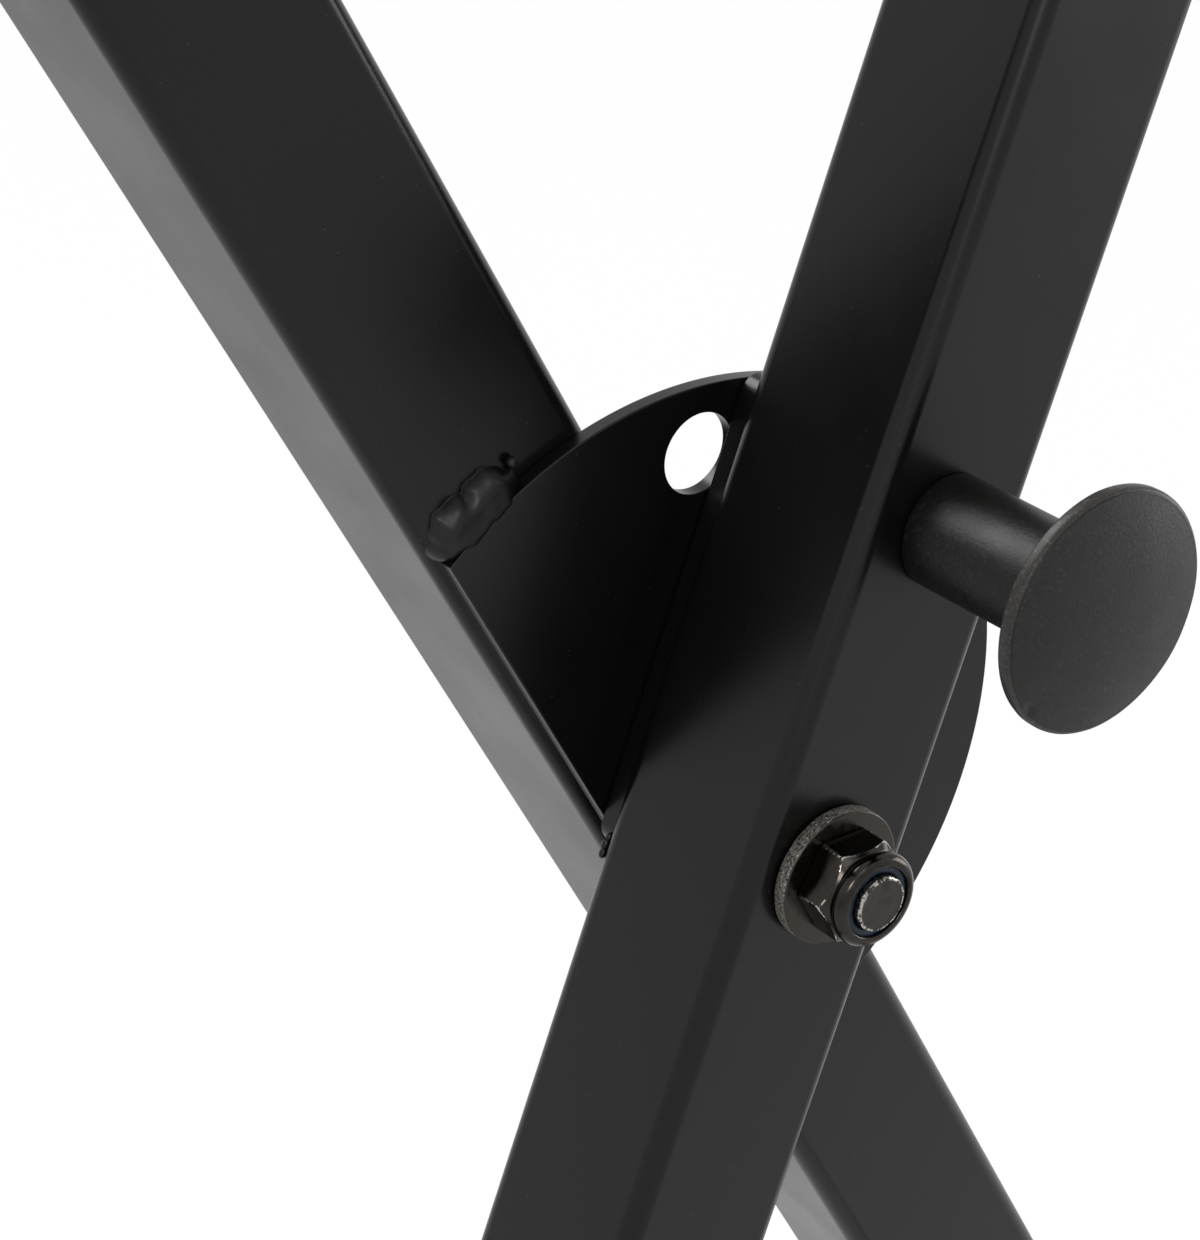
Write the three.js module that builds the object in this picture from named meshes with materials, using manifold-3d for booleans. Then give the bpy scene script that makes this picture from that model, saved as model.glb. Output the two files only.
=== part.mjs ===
// Folding keyboard stand with one crossed pair of square-tube legs, in millimetres, +Z up.
// The two legs turn on one bolt and are held by a spring pull-pin in a drilled index plate.
// The stand is drawn at the second-highest of its five heights, with the knob towards -Y.
// Origin: on the floor, under the middle of the stand. The fold axis runs along Y.
import * as THREE from 'three';
import { mergeVertices } from 'three/addons/utils/BufferGeometryUtils.js';
import Module from 'manifold-3d';

const wasm = await Module();
wasm.setup();

// ---- Driving dimensions ---------------------------------------------------------------------
const OPEN_ANGLE = 50; // degrees between the legs as drawn
const FIT = 0.3; // clearance between fitted pieces that do not move
const RUN = 0.3; // running clearance beside the moving leg
const OVERCUT = 1; // how far a cutter or a joined blank reaches past a face

const LEG_TUBE = 30; // square leg tube, outside
const LEG_WALL = 1.5;
const LEG_CORNER = 3;
const LEG_LENGTH = 900; // along the leg's axis, between its two level ends

const BAR_TUBE = 30; // square tube of the foot and arm bars, outside
const BAR_WALL = 1.5;
const BAR_CORNER = 3;
const FOOT_BAR_LENGTH = 460;
const ARM_BAR_LENGTH = 340;

const BRACKET_THICK = 3; // pressed U bracket welded to each end of a leg
const BRACKET_LENGTH = 92;
const BRACKET_LIP = 13;
const BRACKET_BEND = 4;
const END_WELD = 4; // fillet weld between a leg and its bracket

const BAR_BOLT = 8; // carriage bolts, two through each bar and bracket
const BAR_BOLT_MARGIN = 15; // from a bolt to the end of its bracket
const BAR_BOLT_HEAD = 19;
const BAR_BOLT_HEAD_HEIGHT = 4.4;
const BAR_BOLT_POINT = 1.6;
const BAR_NUT_ACROSS = 13;
const BAR_NUT_FLANGE = 17.5;
const BAR_NUT_HEIGHT = 8;
const BAR_NUT_RIM = 1.3; // thickness of the flange at its rim

const SHOE_LENGTH = 58; // rubber shoe over each end of a foot bar
const SHOE_SOLE = 7;
const SHOE_SIDE = 4;
const SHOE_END = 6;
const SHOE_ROUND = 8;
const TREAD_GROOVES = 3;
const TREAD_WIDTH = 2.4;
const TREAD_DEPTH = 1.6;

const PAD_TOP = 6; // rubber sleeve over each end of an arm bar
const PAD_SIDE = 4;
const PAD_END = 5;
const PAD_ROUND = 7;
const PAD_GAP = 11.3; // from a pad to the nearer bracket
const PAD_GROOVES = 4;
const PAD_GROOVE_WIDTH = 2.2;
const PAD_GROOVE_DEPTH = 1.4;
const SOFT_EDGE = 1.5; // rounding of the moulded ends

const INDEX_THICK = 2.5; // index plate, welded to the front face of the rear leg
const INDEX_RADIUS = 62.5;
const INDEX_CHORD = 13.5; // from the rear leg's axis to the plate's straight edge
const INDEX_RIM = 10.5; // from the plate's rim to the ring of hole centres
const INDEX_HOLES = 5;
const INDEX_FIRST = 31.3; // degrees from the rear leg's upper half to the first hole
const INDEX_PITCH = 18.7; // degrees from hole to hole

const LOCK_PLATE_THICK = 3.2; // wear plate on the rear face of the front leg
const LOCK_PLATE_WIDTH = 26;
const LOCK_PLATE_MARGIN = 10.5; // past the pin hole and past the pivot hole
const LOCK_PLATE_CORNER = 3;

const PIVOT_BOLT = 10; // hexagon-head bolt that the front leg turns on
const PIVOT_HEAD_ACROSS = 14;
const PIVOT_HEAD_HEIGHT = 6.4;
const PIVOT_END_CHAMFER = 0.8;
const PIVOT_PROUD = 0.7; // the bolt's end, beyond the locking nut
const WASHER_DIAMETER = 20.8;
const WASHER_THICK = 2.3;
const WASHER_EASE = 0.3;
const SLEEVE_WALL = 2.5; // steel sleeve through each leg, round the bolt
const NUT_ACROSS = 14;
const NUT_HEX_HEIGHT = 5.4;
const NUT_COLLAR = 14.4;
const NUT_COLLAR_HEIGHT = 2.8;
const NUT_ROLL = 1.4; // rounding of the collar's rolled edge
const NUT_RING = 12; // nylon locking ring, outside
const NUT_RING_HEIGHT = 1.2;
const NUT_RING_LIP = 0.8;

const PIN = 11.6; // spring-loaded lock pin
const PIN_FIT = 0.4; // clearance round the pin in its holes
const PIN_TIP = 1.4;
const PIN_NECK = 8;
const PIN_NECK_LENGTH = 18;
const CLIP_THICK = 1.2;
const CLIP_DIAMETER = 18;
const CLIP_GROOVE_DEPTH = 1;
const CLIP_MOUTH = 32; // degrees from the middle of the clip's mouth to its side
const CLIP_LUG = 17; // half the width of a lug, in degrees
const SPRING_WIRE = 1.4;
const SPRING_MEAN = 16;
const SPRING_TURNS = 7;

const KNOB_BARREL = 16.8;
const KNOB_HEAD = 35.4;
const KNOB_REACH = 31; // from the leg's face to the head's rim
const KNOB_RIM = 1.7;
const KNOB_DOME = 1.6;
const KNOB_SLOPE = 2.1; // rise of the head's back from its rim to the flare
const KNOB_FLARE = 3;

const WELD_LUMP = 3.4; // radius of one lump of the index plate's weld bead
const WELD_LUMPS = 5;
const WELD_PITCH = 3.1;

const HEX_FACE = 0.95; // width of a chamfered end, as a share of the width across flats
const HEX_CHAMFER = 30; // degrees

// ---- Sizes that follow ----------------------------------------------------------------------
const { degToRad } = THREE.MathUtils;
const TILT = degToRad(OPEN_ANGLE / 2);
const GAP = INDEX_THICK + RUN + LOCK_PLATE_THICK; // between the two leg tubes
const FACE = GAP / 2; // inner face of either leg tube, from the middle
const OUTER_FACE = FACE + LEG_TUBE;
const LEG_OFFSET = FACE + LEG_TUBE / 2;
const BAR_BOLT_SPACING = BRACKET_LENGTH - 2 * BAR_BOLT_MARGIN;
const PAD_ROOM = ARM_BAR_LENGTH / 2 - LEG_OFFSET - BRACKET_LENGTH / 2; // bare end of an arm bar
const PAD_LENGTH = PAD_ROOM + PAD_END + FIT - PAD_GAP;
const INDEX_RING = INDEX_RADIUS - INDEX_RIM; // from the fold axis to the lock pin's axis
const PIN_HOLE = PIN + 2 * PIN_FIT;
const BAR_SEAT = BRACKET_THICK + FIT; // from a bar to the end of its leg
const FOOT_BAR_BOTTOM = SHOE_SOLE + FIT;
const LEG_BOTTOM = FOOT_BAR_BOTTOM + BAR_TUBE + FIT + BAR_SEAT;
const LEG_RISE = LEG_LENGTH * Math.cos(TILT);
const LEG_SPREAD = LEG_LENGTH * Math.sin(TILT);
const LEG_TOP = LEG_BOTTOM + LEG_RISE;
const PIVOT_HEIGHT = LEG_BOTTOM + LEG_RISE / 2;
const NUT_BACK = -OUTER_FACE - RUN - WASHER_THICK;
const NUT_FRONT = NUT_BACK - NUT_HEX_HEIGHT - NUT_COLLAR_HEIGHT;
const SLEEVE_BORE = PIVOT_BOLT / 2 + FIT;
const SLEEVE_RADIUS = SLEEVE_BORE + SLEEVE_WALL;
const PIN_BACK = -FACE + LOCK_PLATE_THICK; // the pin's end, level with the wear plate's face
const CLIP_BACK = -FACE - LEG_WALL - FIT;

const ROUND_SMALL = 14; // facets round small, middling and large circles
const ROUND_MIDDLE = 24;
const ROUND_LARGE = 56;
const ROUND_KNOB = 32;
const CORNER_STEPS = 3;
const CLIP_STEPS = 8; // facets of each arc of the lock pin's clip
const ROLL_STEPS = 4; // facets of a rolled or flared quarter turn
const DOME_STEPS = 5;
const SOFT_STEPS = 2; // facets of a moulded edge
const LUMP_SIDES = 10;
const LUMP_RINGS = 6;
const WIRE_SIDES = 5;
const COIL_STEPS = 8; // facets in each turn of the spring
const COIL_SAMPLES = 16; // points in each turn where the gap is measured

// ---- Materials ------------------------------------------------------------------------------
const paint = (color, roughness, metalness) => () => (
  new THREE.MeshStandardMaterial({ color, roughness, metalness })
);
const powderCoat = paint(0x1a1a19, 0.42, 0.1);
const blackPlate = paint(0x2a2826, 0.25, 0.9);

const brightSteel = paint(0x9a9a98, 0.35, 0.9);
const springSteel = paint(0x6b6b6a, 0.35, 0.9);
const knobPlastic = paint(0x222120, 0.7, 0);
const rubber = paint(0x161616, 0.85, 0);
const nylonBlue = paint(0x14324a, 0.5, 0);
const weldMetal = paint(0x201f1e, 0.3, 0.3);

// ---- Solids ---------------------------------------------------------------------------------
function solid(geometry) {
  const bare = geometry.index ? geometry.toNonIndexed() : geometry.clone();
  bare.deleteAttribute('normal');
  bare.deleteAttribute('uv');
  const merged = mergeVertices(bare, 1e-5);
  return new wasm.Manifold(new wasm.Mesh({
    numProp: 3,
    vertProperties: new Float32Array(merged.attributes.position.array),
    triVerts: new Uint32Array(merged.index.array),
  }));
}

function geometryOf(manifold) {
  const mesh = manifold.getMesh();
  const geometry = new THREE.BufferGeometry();
  geometry.setAttribute('position', new THREE.BufferAttribute(mesh.vertProperties, 3));
  geometry.setIndex(new THREE.BufferAttribute(mesh.triVerts, 1));
  geometry.computeVertexNormals();
  return geometry;
}

function piece(name, shape, makeMaterial, y = 0) {
  const geometry = shape.isBufferGeometry ? shape : geometryOf(shape);
  const result = new THREE.Mesh(geometry, makeMaterial());
  result.name = name;
  result.position.y = y;
  return result;
}

const cutAll = (body, cutters) => cutters.reduce((left, cutter) => left.subtract(cutter), body);
const joinAll = (solids) => solids.reduce((left, right) => left.add(right));

function roundedRect(shape, width, height, radius, x = 0, y = 0) {
  const right = x + width / 2;
  const left = x - width / 2;
  const top = y + height / 2;
  const bottom = y - height / 2;
  shape.moveTo(left + radius, bottom);
  shape.lineTo(right - radius, bottom);
  shape.absarc(right - radius, bottom + radius, radius, -Math.PI / 2, 0);
  shape.lineTo(right, top - radius);
  shape.absarc(right - radius, top - radius, radius, 0, Math.PI / 2);
  shape.lineTo(left + radius, top);
  shape.absarc(left + radius, top - radius, radius, Math.PI / 2, Math.PI);
  shape.lineTo(left, bottom + radius);
  shape.absarc(left + radius, bottom + radius, radius, Math.PI, Math.PI * 1.5);
  return shape;
}

// A hollow square tube along Z, from -length/2 to length/2.
function squareTube(size, wall, corner, length) {
  const outline = roundedRect(new THREE.Shape(), size, size, corner);
  const inner = roundedRect(new THREE.Path(), size - 2 * wall, size - 2 * wall, corner - wall);
  outline.holes.push(inner);
  const options = { depth: length, bevelEnabled: false, curveSegments: CORNER_STEPS };
  return new THREE.ExtrudeGeometry(outline, options).translate(0, 0, -length / 2);
}

// An outline in X and Z, drawn out along Y from one place to another.
function alongY(outline, from, to, curveSegments) {
  const options = { depth: to - from, bevelEnabled: false, curveSegments };
  const geometry = new THREE.ExtrudeGeometry(outline, options);
  return geometry.rotateX(Math.PI / 2).translate(0, to, 0);
}

// A round rod along Y.
function rodY(radius, from, to, x = 0, z = 0, sides = ROUND_MIDDLE) {
  const rod = new THREE.CylinderGeometry(radius, radius, to - from, sides);
  return rod.translate(x, (from + to) / 2, z);
}

// A round rod along Z.
function rodZ(radius, from, to, x = 0, y = 0, sides = ROUND_SMALL) {
  const rod = new THREE.CylinderGeometry(radius, radius, to - from, sides);
  return rod.rotateX(Math.PI / 2).translate(x, y, (from + to) / 2);
}

// A turned piece: [radius, height] pairs round the Y axis.
function turned(profile, sides = ROUND_MIDDLE) {
  return new THREE.LatheGeometry(profile.map(([r, y]) => new THREE.Vector2(r, y)), sides);
}

// A hexagonal prism along Y, with its corners cut back by a cone where asked.
function hexagonY(across, from, to, chamferFrom, chamferTo, sides = ROUND_MIDDLE) {
  const corner = across / Math.sqrt(3);
  const faceRadius = (across / 2) * HEX_FACE;
  const reach = corner + OVERCUT;
  const drop = (reach - faceRadius) * Math.tan(degToRad(HEX_CHAMFER));
  const profile = [[0, from]];
  if (chamferFrom) profile.push([faceRadius, from]);
  profile.push([reach, from + (chamferFrom ? drop : 0)]);
  profile.push([reach, to - (chamferTo ? drop : 0)]);
  if (chamferTo) profile.push([faceRadius, to]);
  profile.push([0, to]);
  return solid(rodY(corner, from, to, 0, 0, 6)).intersect(solid(turned(profile, sides)));
}

// ---- Leg tubes, sleeves and plates, drawn upright about the fold axis -------------------------
// A leg leans by `lean`, so its level ends are sheared planes in its own upright frame.
function legTube(lean, offset, extraHoles) {
  const tube = squareTube(LEG_TUBE, LEG_WALL, LEG_CORNER, LEG_LENGTH);
  tube.applyMatrix4(new THREE.Matrix4().makeShear(0, Math.tan(lean), 0, 0, 0, 0));
  tube.translate(0, offset, 0);
  const near = offset - LEG_TUBE;
  const far = offset + LEG_TUBE;
  const pivotHole = solid(rodY(SLEEVE_RADIUS + FIT, near, far));
  return cutAll(solid(tube), [pivotHole, ...extraHoles(near, far)]);
}

function sleeve(from, to) {
  return turned([
    [SLEEVE_BORE, from],
    [SLEEVE_RADIUS, from],
    [SLEEVE_RADIUS, to],
    [SLEEVE_BORE, to],
    [SLEEVE_BORE, from],
  ]);
}

function indexPlate() {
  const half = Math.sqrt(INDEX_RADIUS ** 2 - INDEX_CHORD ** 2);
  const start = Math.atan2(half, -INDEX_CHORD);
  const outline = new THREE.Shape();
  outline.moveTo(-INDEX_CHORD, half);
  outline.lineTo(-INDEX_CHORD, -half);
  outline.absarc(0, 0, INDEX_RADIUS, -start, start, false);
  const plate = solid(alongY(outline, FACE - INDEX_THICK, FACE, ROUND_LARGE));
  const holes = [solid(rodY(SLEEVE_BORE, 0, OUTER_FACE))];
  for (let i = 0; i < INDEX_HOLES; i += 1) {
    const angle = degToRad(INDEX_FIRST + i * INDEX_PITCH);
    const x = INDEX_RING * Math.sin(angle);
    const z = INDEX_RING * Math.cos(angle);
    holes.push(solid(rodY(PIN_HOLE / 2, 0, OUTER_FACE, x, z)));
  }
  return cutAll(plate, holes);
}

// A short bead of overlapping lumps outside the plate's rim, on the face of the rear leg.
// It stays level with the plate's face, because the wear plate passes over it when folding.
function weldBead(sign) {
  const start = Math.asin((INDEX_CHORD - WELD_LUMP / 2) / INDEX_RADIUS);
  const flatten = (INDEX_THICK - FIT) / WELD_LUMP;
  const lumps = [];
  for (let i = 0; i < WELD_LUMPS; i += 1) {
    const angle = (i * WELD_PITCH) / INDEX_RADIUS - start;
    const x = (INDEX_RADIUS + WELD_LUMP / 2) * Math.sin(angle);
    const z = (INDEX_RADIUS + WELD_LUMP / 2) * Math.cos(angle) * sign;
    const lump = new THREE.SphereGeometry(WELD_LUMP, LUMP_SIDES, LUMP_RINGS);
    lump.rotateX(Math.PI / 2).scale(1, flatten, 1);
    lumps.push(solid(lump.translate(x, FACE - FIT, z)));
  }
  const legFace = solid(new THREE.BoxGeometry(LEG_TUBE * 2, LEG_TUBE, INDEX_RADIUS * 3)
    .translate(0, FACE - FIT + LEG_TUBE / 2, 0));
  const plateRim = solid(rodY(INDEX_RADIUS + FIT, -FACE, OUTER_FACE, 0, 0, ROUND_LARGE));
  return cutAll(joinAll(lumps), [legFace, plateRim]);
}

function lockPlate() {
  const height = INDEX_RING + 2 * LOCK_PLATE_MARGIN;
  const middle = INDEX_RING / 2;
  const outline = new THREE.Shape();
  roundedRect(outline, LOCK_PLATE_WIDTH, height, LOCK_PLATE_CORNER, 0, middle);
  const plate = solid(alongY(outline, -FACE, PIN_BACK, CORNER_STEPS));
  return cutAll(plate, [
    solid(rodY(SLEEVE_RADIUS + FIT, -OUTER_FACE, OUTER_FACE)),
    solid(rodY(PIN_HOLE / 2, -OUTER_FACE, OUTER_FACE, 0, INDEX_RING)),
  ]);
}

// ---- Pivot bolt, washers and locking nut ----------------------------------------------------
function pivotBolt() {
  const radius = PIVOT_BOLT / 2;
  const headBack = OUTER_FACE + WASHER_THICK;
  const headFront = headBack + PIVOT_HEAD_HEIGHT;
  const end = NUT_FRONT - PIVOT_PROUD;
  const shank = turned([
    [0, end],
    [radius - PIVOT_END_CHAMFER, end],
    [radius, end + PIVOT_END_CHAMFER],
    [radius, headBack + OVERCUT],
    [0, headBack + OVERCUT],
  ]);
  return hexagonY(PIVOT_HEAD_ACROSS, headBack, headFront, false, true).add(solid(shank));
}

// A flat washer from Y = 0 up, its outer edge eased on the far side.
function washer() {
  const outer = WASHER_DIAMETER / 2;
  return turned([
    [SLEEVE_BORE, 0],
    [outer, 0],
    [outer, WASHER_THICK - WASHER_EASE],
    [outer - WASHER_EASE, WASHER_THICK],
    [SLEEVE_BORE, WASHER_THICK],
    [SLEEVE_BORE, 0],
  ]);
}

// A hexagon nut with a rolled collar that holds a nylon ring at its front.
function lockNut() {
  const hexFront = NUT_BACK - NUT_HEX_HEIGHT;
  const rollBack = NUT_FRONT + NUT_ROLL;
  const collar = NUT_COLLAR / 2;
  const ringSeat = NUT_RING / 2 + FIT;
  const rolled = [];
  for (let i = 0; i <= ROLL_STEPS; i += 1) {
    const turn = (i / ROLL_STEPS) * (Math.PI / 2);
    rolled.push([
      collar - NUT_ROLL * (1 - Math.sin(turn)),
      rollBack - NUT_ROLL * Math.cos(turn),
    ]);
  }
  const collarSolid = solid(turned([
    [0, NUT_FRONT],
    ...rolled,
    [collar, hexFront + OVERCUT],
    [0, hexFront + OVERCUT],
  ]));
  const seatFront = NUT_FRONT + NUT_RING_LIP;
  const seatBack = seatFront + NUT_RING_HEIGHT + 2 * FIT;
  return cutAll(hexagonY(NUT_ACROSS, hexFront, NUT_BACK, true, true).add(collarSolid), [
    solid(rodY(SLEEVE_BORE, NUT_FRONT - OVERCUT, NUT_BACK + OVERCUT)),
    solid(rodY(ringSeat, seatFront, seatBack)),
    solid(rodY(ringSeat - NUT_RING_LIP, NUT_FRONT - OVERCUT, seatBack)),
  ]);
}

function nutRing() {
  const from = NUT_FRONT + NUT_RING_LIP + FIT;
  const to = from + NUT_RING_HEIGHT;
  return turned([
    [SLEEVE_BORE, from],
    [NUT_RING / 2, from],
    [NUT_RING / 2, to],
    [SLEEVE_BORE, to],
    [SLEEVE_BORE, from],
  ]);
}

// ---- Lock pin, its clip, spring and knob, on the Y axis ---------------------------------------
function lockPin() {
  const radius = PIN / 2;
  const groove = radius - CLIP_GROOVE_DEPTH;
  const grooveTo = CLIP_BACK + FIT / 2;
  const grooveFrom = CLIP_BACK - CLIP_THICK - FIT / 2;
  const shoulder = -OUTER_FACE + LEG_WALL;
  const neck = PIN_NECK / 2;
  return turned([
    [0, -OUTER_FACE - PIN_NECK_LENGTH],
    [neck - FIT, -OUTER_FACE - PIN_NECK_LENGTH],
    [neck, -OUTER_FACE - PIN_NECK_LENGTH + FIT],
    [neck, shoulder],
    [radius, shoulder],
    [radius, grooveFrom],
    [groove, grooveFrom],
    [groove, grooveTo],
    [radius, grooveTo],
    [radius, PIN_BACK - PIN_TIP],
    [radius - PIN_TIP, PIN_BACK],
    [0, PIN_BACK],
  ], ROUND_MIDDLE);
}

// An open retaining ring with three lugs that reach into the pin's groove.
function pinClip() {
  const outer = CLIP_DIAMETER / 2;
  const mouth = degToRad(CLIP_MOUTH);
  const inner = PIN / 2 + FIT;
  const lug = inner - CLIP_GROOVE_DEPTH;
  const lugHalf = degToRad(CLIP_LUG);
  const first = -Math.PI / 2 + mouth;
  const last = Math.PI * 1.5 - mouth;
  const outline = new THREE.Shape();
  outline.absarc(0, 0, outer, first, last, false);
  const middle = Math.PI / 2;
  outline.absarc(0, 0, lug, last, last - 2 * lugHalf, true);
  outline.absarc(0, 0, inner, last - 2 * lugHalf, middle + lugHalf, true);
  outline.absarc(0, 0, lug, middle + lugHalf, middle - lugHalf, true);
  outline.absarc(0, 0, inner, middle - lugHalf, first + 2 * lugHalf, true);
  outline.absarc(0, 0, lug, first + 2 * lugHalf, first, true);
  outline.closePath();
  return alongY(outline, CLIP_BACK - CLIP_THICK, CLIP_BACK, CLIP_STEPS);
}

class Helix extends THREE.Curve {
  constructor(radius, from, to, turns) {
    super();
    Object.assign(this, { radius, from, to, turns });
  }

  getPoint(t, target = new THREE.Vector3()) {
    const angle = t * this.turns * 2 * Math.PI;
    return target.set(
      this.radius * Math.cos(angle),
      this.from + (this.to - this.from) * t,
      this.radius * Math.sin(angle),
    );
  }
}

function leastGapBetweenTurns(helix, stepsPerTurn) {
  const points = helix.getPoints(helix.turns * stepsPerTurn);
  let least = Infinity;
  for (let i = 0; i < points.length; i += 1) {
    for (let j = i + stepsPerTurn / 2; j < points.length; j += 1) {
      least = Math.min(least, points[i].distanceTo(points[j]));
    }
  }
  return least - SPRING_WIRE;
}

function lockSpring() {
  const wire = SPRING_WIRE / 2;
  const from = -OUTER_FACE + LEG_WALL + FIT + SPRING_WIRE;
  const to = CLIP_BACK - CLIP_THICK - FIT - SPRING_WIRE;
  const helix = new Helix(SPRING_MEAN / 2, from, to, SPRING_TURNS);
  console.log(`lock spring: least gap ${leastGapBetweenTurns(helix, COIL_SAMPLES).toFixed(2)} mm`);
  const section = new THREE.Shape();
  section.moveTo(wire, 0);
  for (let i = 1; i < WIRE_SIDES; i += 1) {
    const turn = (i / WIRE_SIDES) * 2 * Math.PI;
    section.lineTo(wire * Math.cos(turn), wire * Math.sin(turn));
  }
  section.closePath();
  const steps = SPRING_TURNS * COIL_STEPS;
  const options = { steps, extrudePath: helix, bevelEnabled: false };
  return new THREE.ExtrudeGeometry(section, options);
}

// A mushroom knob: straight barrel, flare, and a round head with a slightly domed front.
function pullKnob() {
  const foot = -OUTER_FACE;
  const rimFront = foot - KNOB_REACH;
  const rimBack = rimFront + KNOB_RIM;
  const barrel = KNOB_BARREL / 2;
  const head = KNOB_HEAD / 2;
  const ease = KNOB_RIM / 4;
  const bore = PIN_NECK / 2 + FIT;
  const boreEnd = foot - PIN_NECK_LENGTH - FIT;
  const profile = [];
  for (let i = 0; i <= ROLL_STEPS; i += 1) {
    const share = i / ROLL_STEPS;
    profile.push([(head - ease) * share, rimFront - KNOB_DOME * (1 - share ** 2)]);
  }
  profile.push([head, rimFront + ease], [head, rimBack - ease], [head - ease, rimBack]);
  for (let i = ROLL_STEPS; i >= 0; i -= 1) {
    const turn = (i / ROLL_STEPS) * (Math.PI / 2);
    profile.push([
      barrel + KNOB_FLARE * (1 - Math.cos(turn)),
      rimBack + KNOB_SLOPE + KNOB_FLARE * (1 - Math.sin(turn)),
    ]);
  }
  profile.push([barrel, foot - FIT], [barrel - FIT, foot], [bore, foot]);
  profile.push([bore, boreEnd], [0, boreEnd]);
  return turned(profile, ROUND_KNOB);
}

// ---- Brackets, bars, bolts, shoes and pads ----------------------------------------------------
// Drawn for the arm end: the bar's axis is Y through the origin, the leg comes from below.
function barBracket() {
  const inner = BAR_TUBE / 2 + FIT;
  const outer = inner + BRACKET_THICK;
  const seat = -BAR_TUBE / 2 - FIT;
  const base = seat - BRACKET_THICK;
  const tip = seat + BRACKET_LIP;
  const round = BRACKET_BEND;
  const innerRound = BRACKET_BEND - BRACKET_THICK;
  const outline = new THREE.Shape();
  outline.moveTo(-outer + round, base);
  outline.lineTo(outer - round, base);
  outline.absarc(outer - round, base + round, round, -Math.PI / 2, 0);
  outline.lineTo(outer, tip);
  outline.lineTo(inner, tip);
  outline.lineTo(inner, seat + innerRound);
  outline.absarc(inner - innerRound, seat + innerRound, innerRound, 0, -Math.PI / 2, true);
  outline.lineTo(-inner + innerRound, seat);
  outline.absarc(-inner + innerRound, seat + innerRound, innerRound, -Math.PI / 2, -Math.PI, true);
  outline.lineTo(-inner, tip);
  outline.lineTo(-outer, tip);
  outline.absarc(-outer + round, base + round, round, Math.PI, Math.PI * 1.5);
  const half = BRACKET_LENGTH / 2;
  const channel = solid(alongY(outline, -half, half, CORNER_STEPS));
  return cutAll(channel, boltPlaces(0).map((y) => (
    solid(rodZ(BAR_BOLT / 2 + FIT, -BAR_TUBE, BAR_TUBE, 0, y))
  )));
}

// A rounded fillet weld along X under the bracket, on the -Y face of the leg.
function endWeld() {
  const half = (LEG_TUBE / 2 - LEG_CORNER) / Math.cos(TILT);
  const section = new THREE.Shape();
  section.moveTo(0, 0);
  section.absarc(0, 0, END_WELD, -Math.PI / 2, 0);
  return alongY(section, -half, half, CORNER_STEPS).rotateZ(-Math.PI / 2);
}

function boltPlaces(offset) {
  return [offset - BAR_BOLT_SPACING / 2, offset + BAR_BOLT_SPACING / 2];
}

// A bar along Y; its bolts stand over the bracket, which is `offset` from the bar's middle.
function bar(length, offset) {
  const tube = squareTube(BAR_TUBE, BAR_WALL, BAR_CORNER, length).rotateX(Math.PI / 2);
  const neck = BAR_BOLT + 2 * FIT;
  const holes = boltPlaces(offset).flatMap((y) => [
    solid(rodZ(BAR_BOLT / 2 + FIT, -BAR_TUBE, BAR_TUBE, 0, y)),
    solid(new THREE.BoxGeometry(neck, neck, BAR_TUBE)
      .translate(0, y, BAR_TUBE - BAR_WALL - FIT)),
  ]);
  return cutAll(solid(tube), holes);
}

// Dome head and square neck on top of the bar, nut below the bracket.
function carriageBolt() {
  const radius = BAR_BOLT / 2;
  const head = BAR_BOLT_HEAD / 2;
  const seat = BAR_TUBE / 2 + FIT;
  const end = -BAR_TUBE / 2 - BAR_SEAT - FIT - BAR_NUT_HEIGHT - BAR_BOLT_POINT;
  const sphere = (head ** 2 + BAR_BOLT_HEAD_HEIGHT ** 2) / (2 * BAR_BOLT_HEAD_HEIGHT);
  const dome = [];
  for (let i = 0; i < DOME_STEPS; i += 1) {
    const r = head * Math.cos((i / DOME_STEPS) * (Math.PI / 2));
    dome.push([r, seat + BAR_BOLT_HEAD_HEIGHT - sphere + Math.sqrt(sphere ** 2 - r ** 2)]);
  }
  dome.push([0, seat + BAR_BOLT_HEAD_HEIGHT]);
  const round = solid(turned([
    [0, end],
    [radius - BAR_BOLT_POINT / 2, end],
    [radius, end + BAR_BOLT_POINT / 2],
    [radius, seat],
    ...dome,
  ], ROUND_SMALL).rotateX(Math.PI / 2));
  const neckHeight = BAR_WALL + FIT + OVERCUT;
  const neck = new THREE.BoxGeometry(BAR_BOLT, BAR_BOLT, neckHeight);
  return round.add(solid(neck.translate(0, 0, seat + OVERCUT - neckHeight / 2)));
}

function flangeNut() {
  const top = BAR_TUBE / 2 + BAR_SEAT + FIT;
  const rim = BAR_NUT_FLANGE / 2;
  const flange = solid(turned([
    [0, top],
    [rim, top],
    [rim, top + BAR_NUT_RIM],
    [BAR_NUT_ACROSS / 2, top + 2 * BAR_NUT_RIM],
    [0, top + 2 * BAR_NUT_RIM],
  ], ROUND_SMALL));
  const hexTop = top + BAR_NUT_HEIGHT;
  const hexagon = hexagonY(BAR_NUT_ACROSS, top, hexTop, false, true, ROUND_SMALL);
  const bore = solid(rodY(BAR_BOLT / 2 + FIT, 0, BAR_TUBE * 2, 0, 0, ROUND_SMALL));
  return geometryOf(flange.add(hexagon).subtract(bore)).rotateX(-Math.PI / 2);
}

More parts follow.
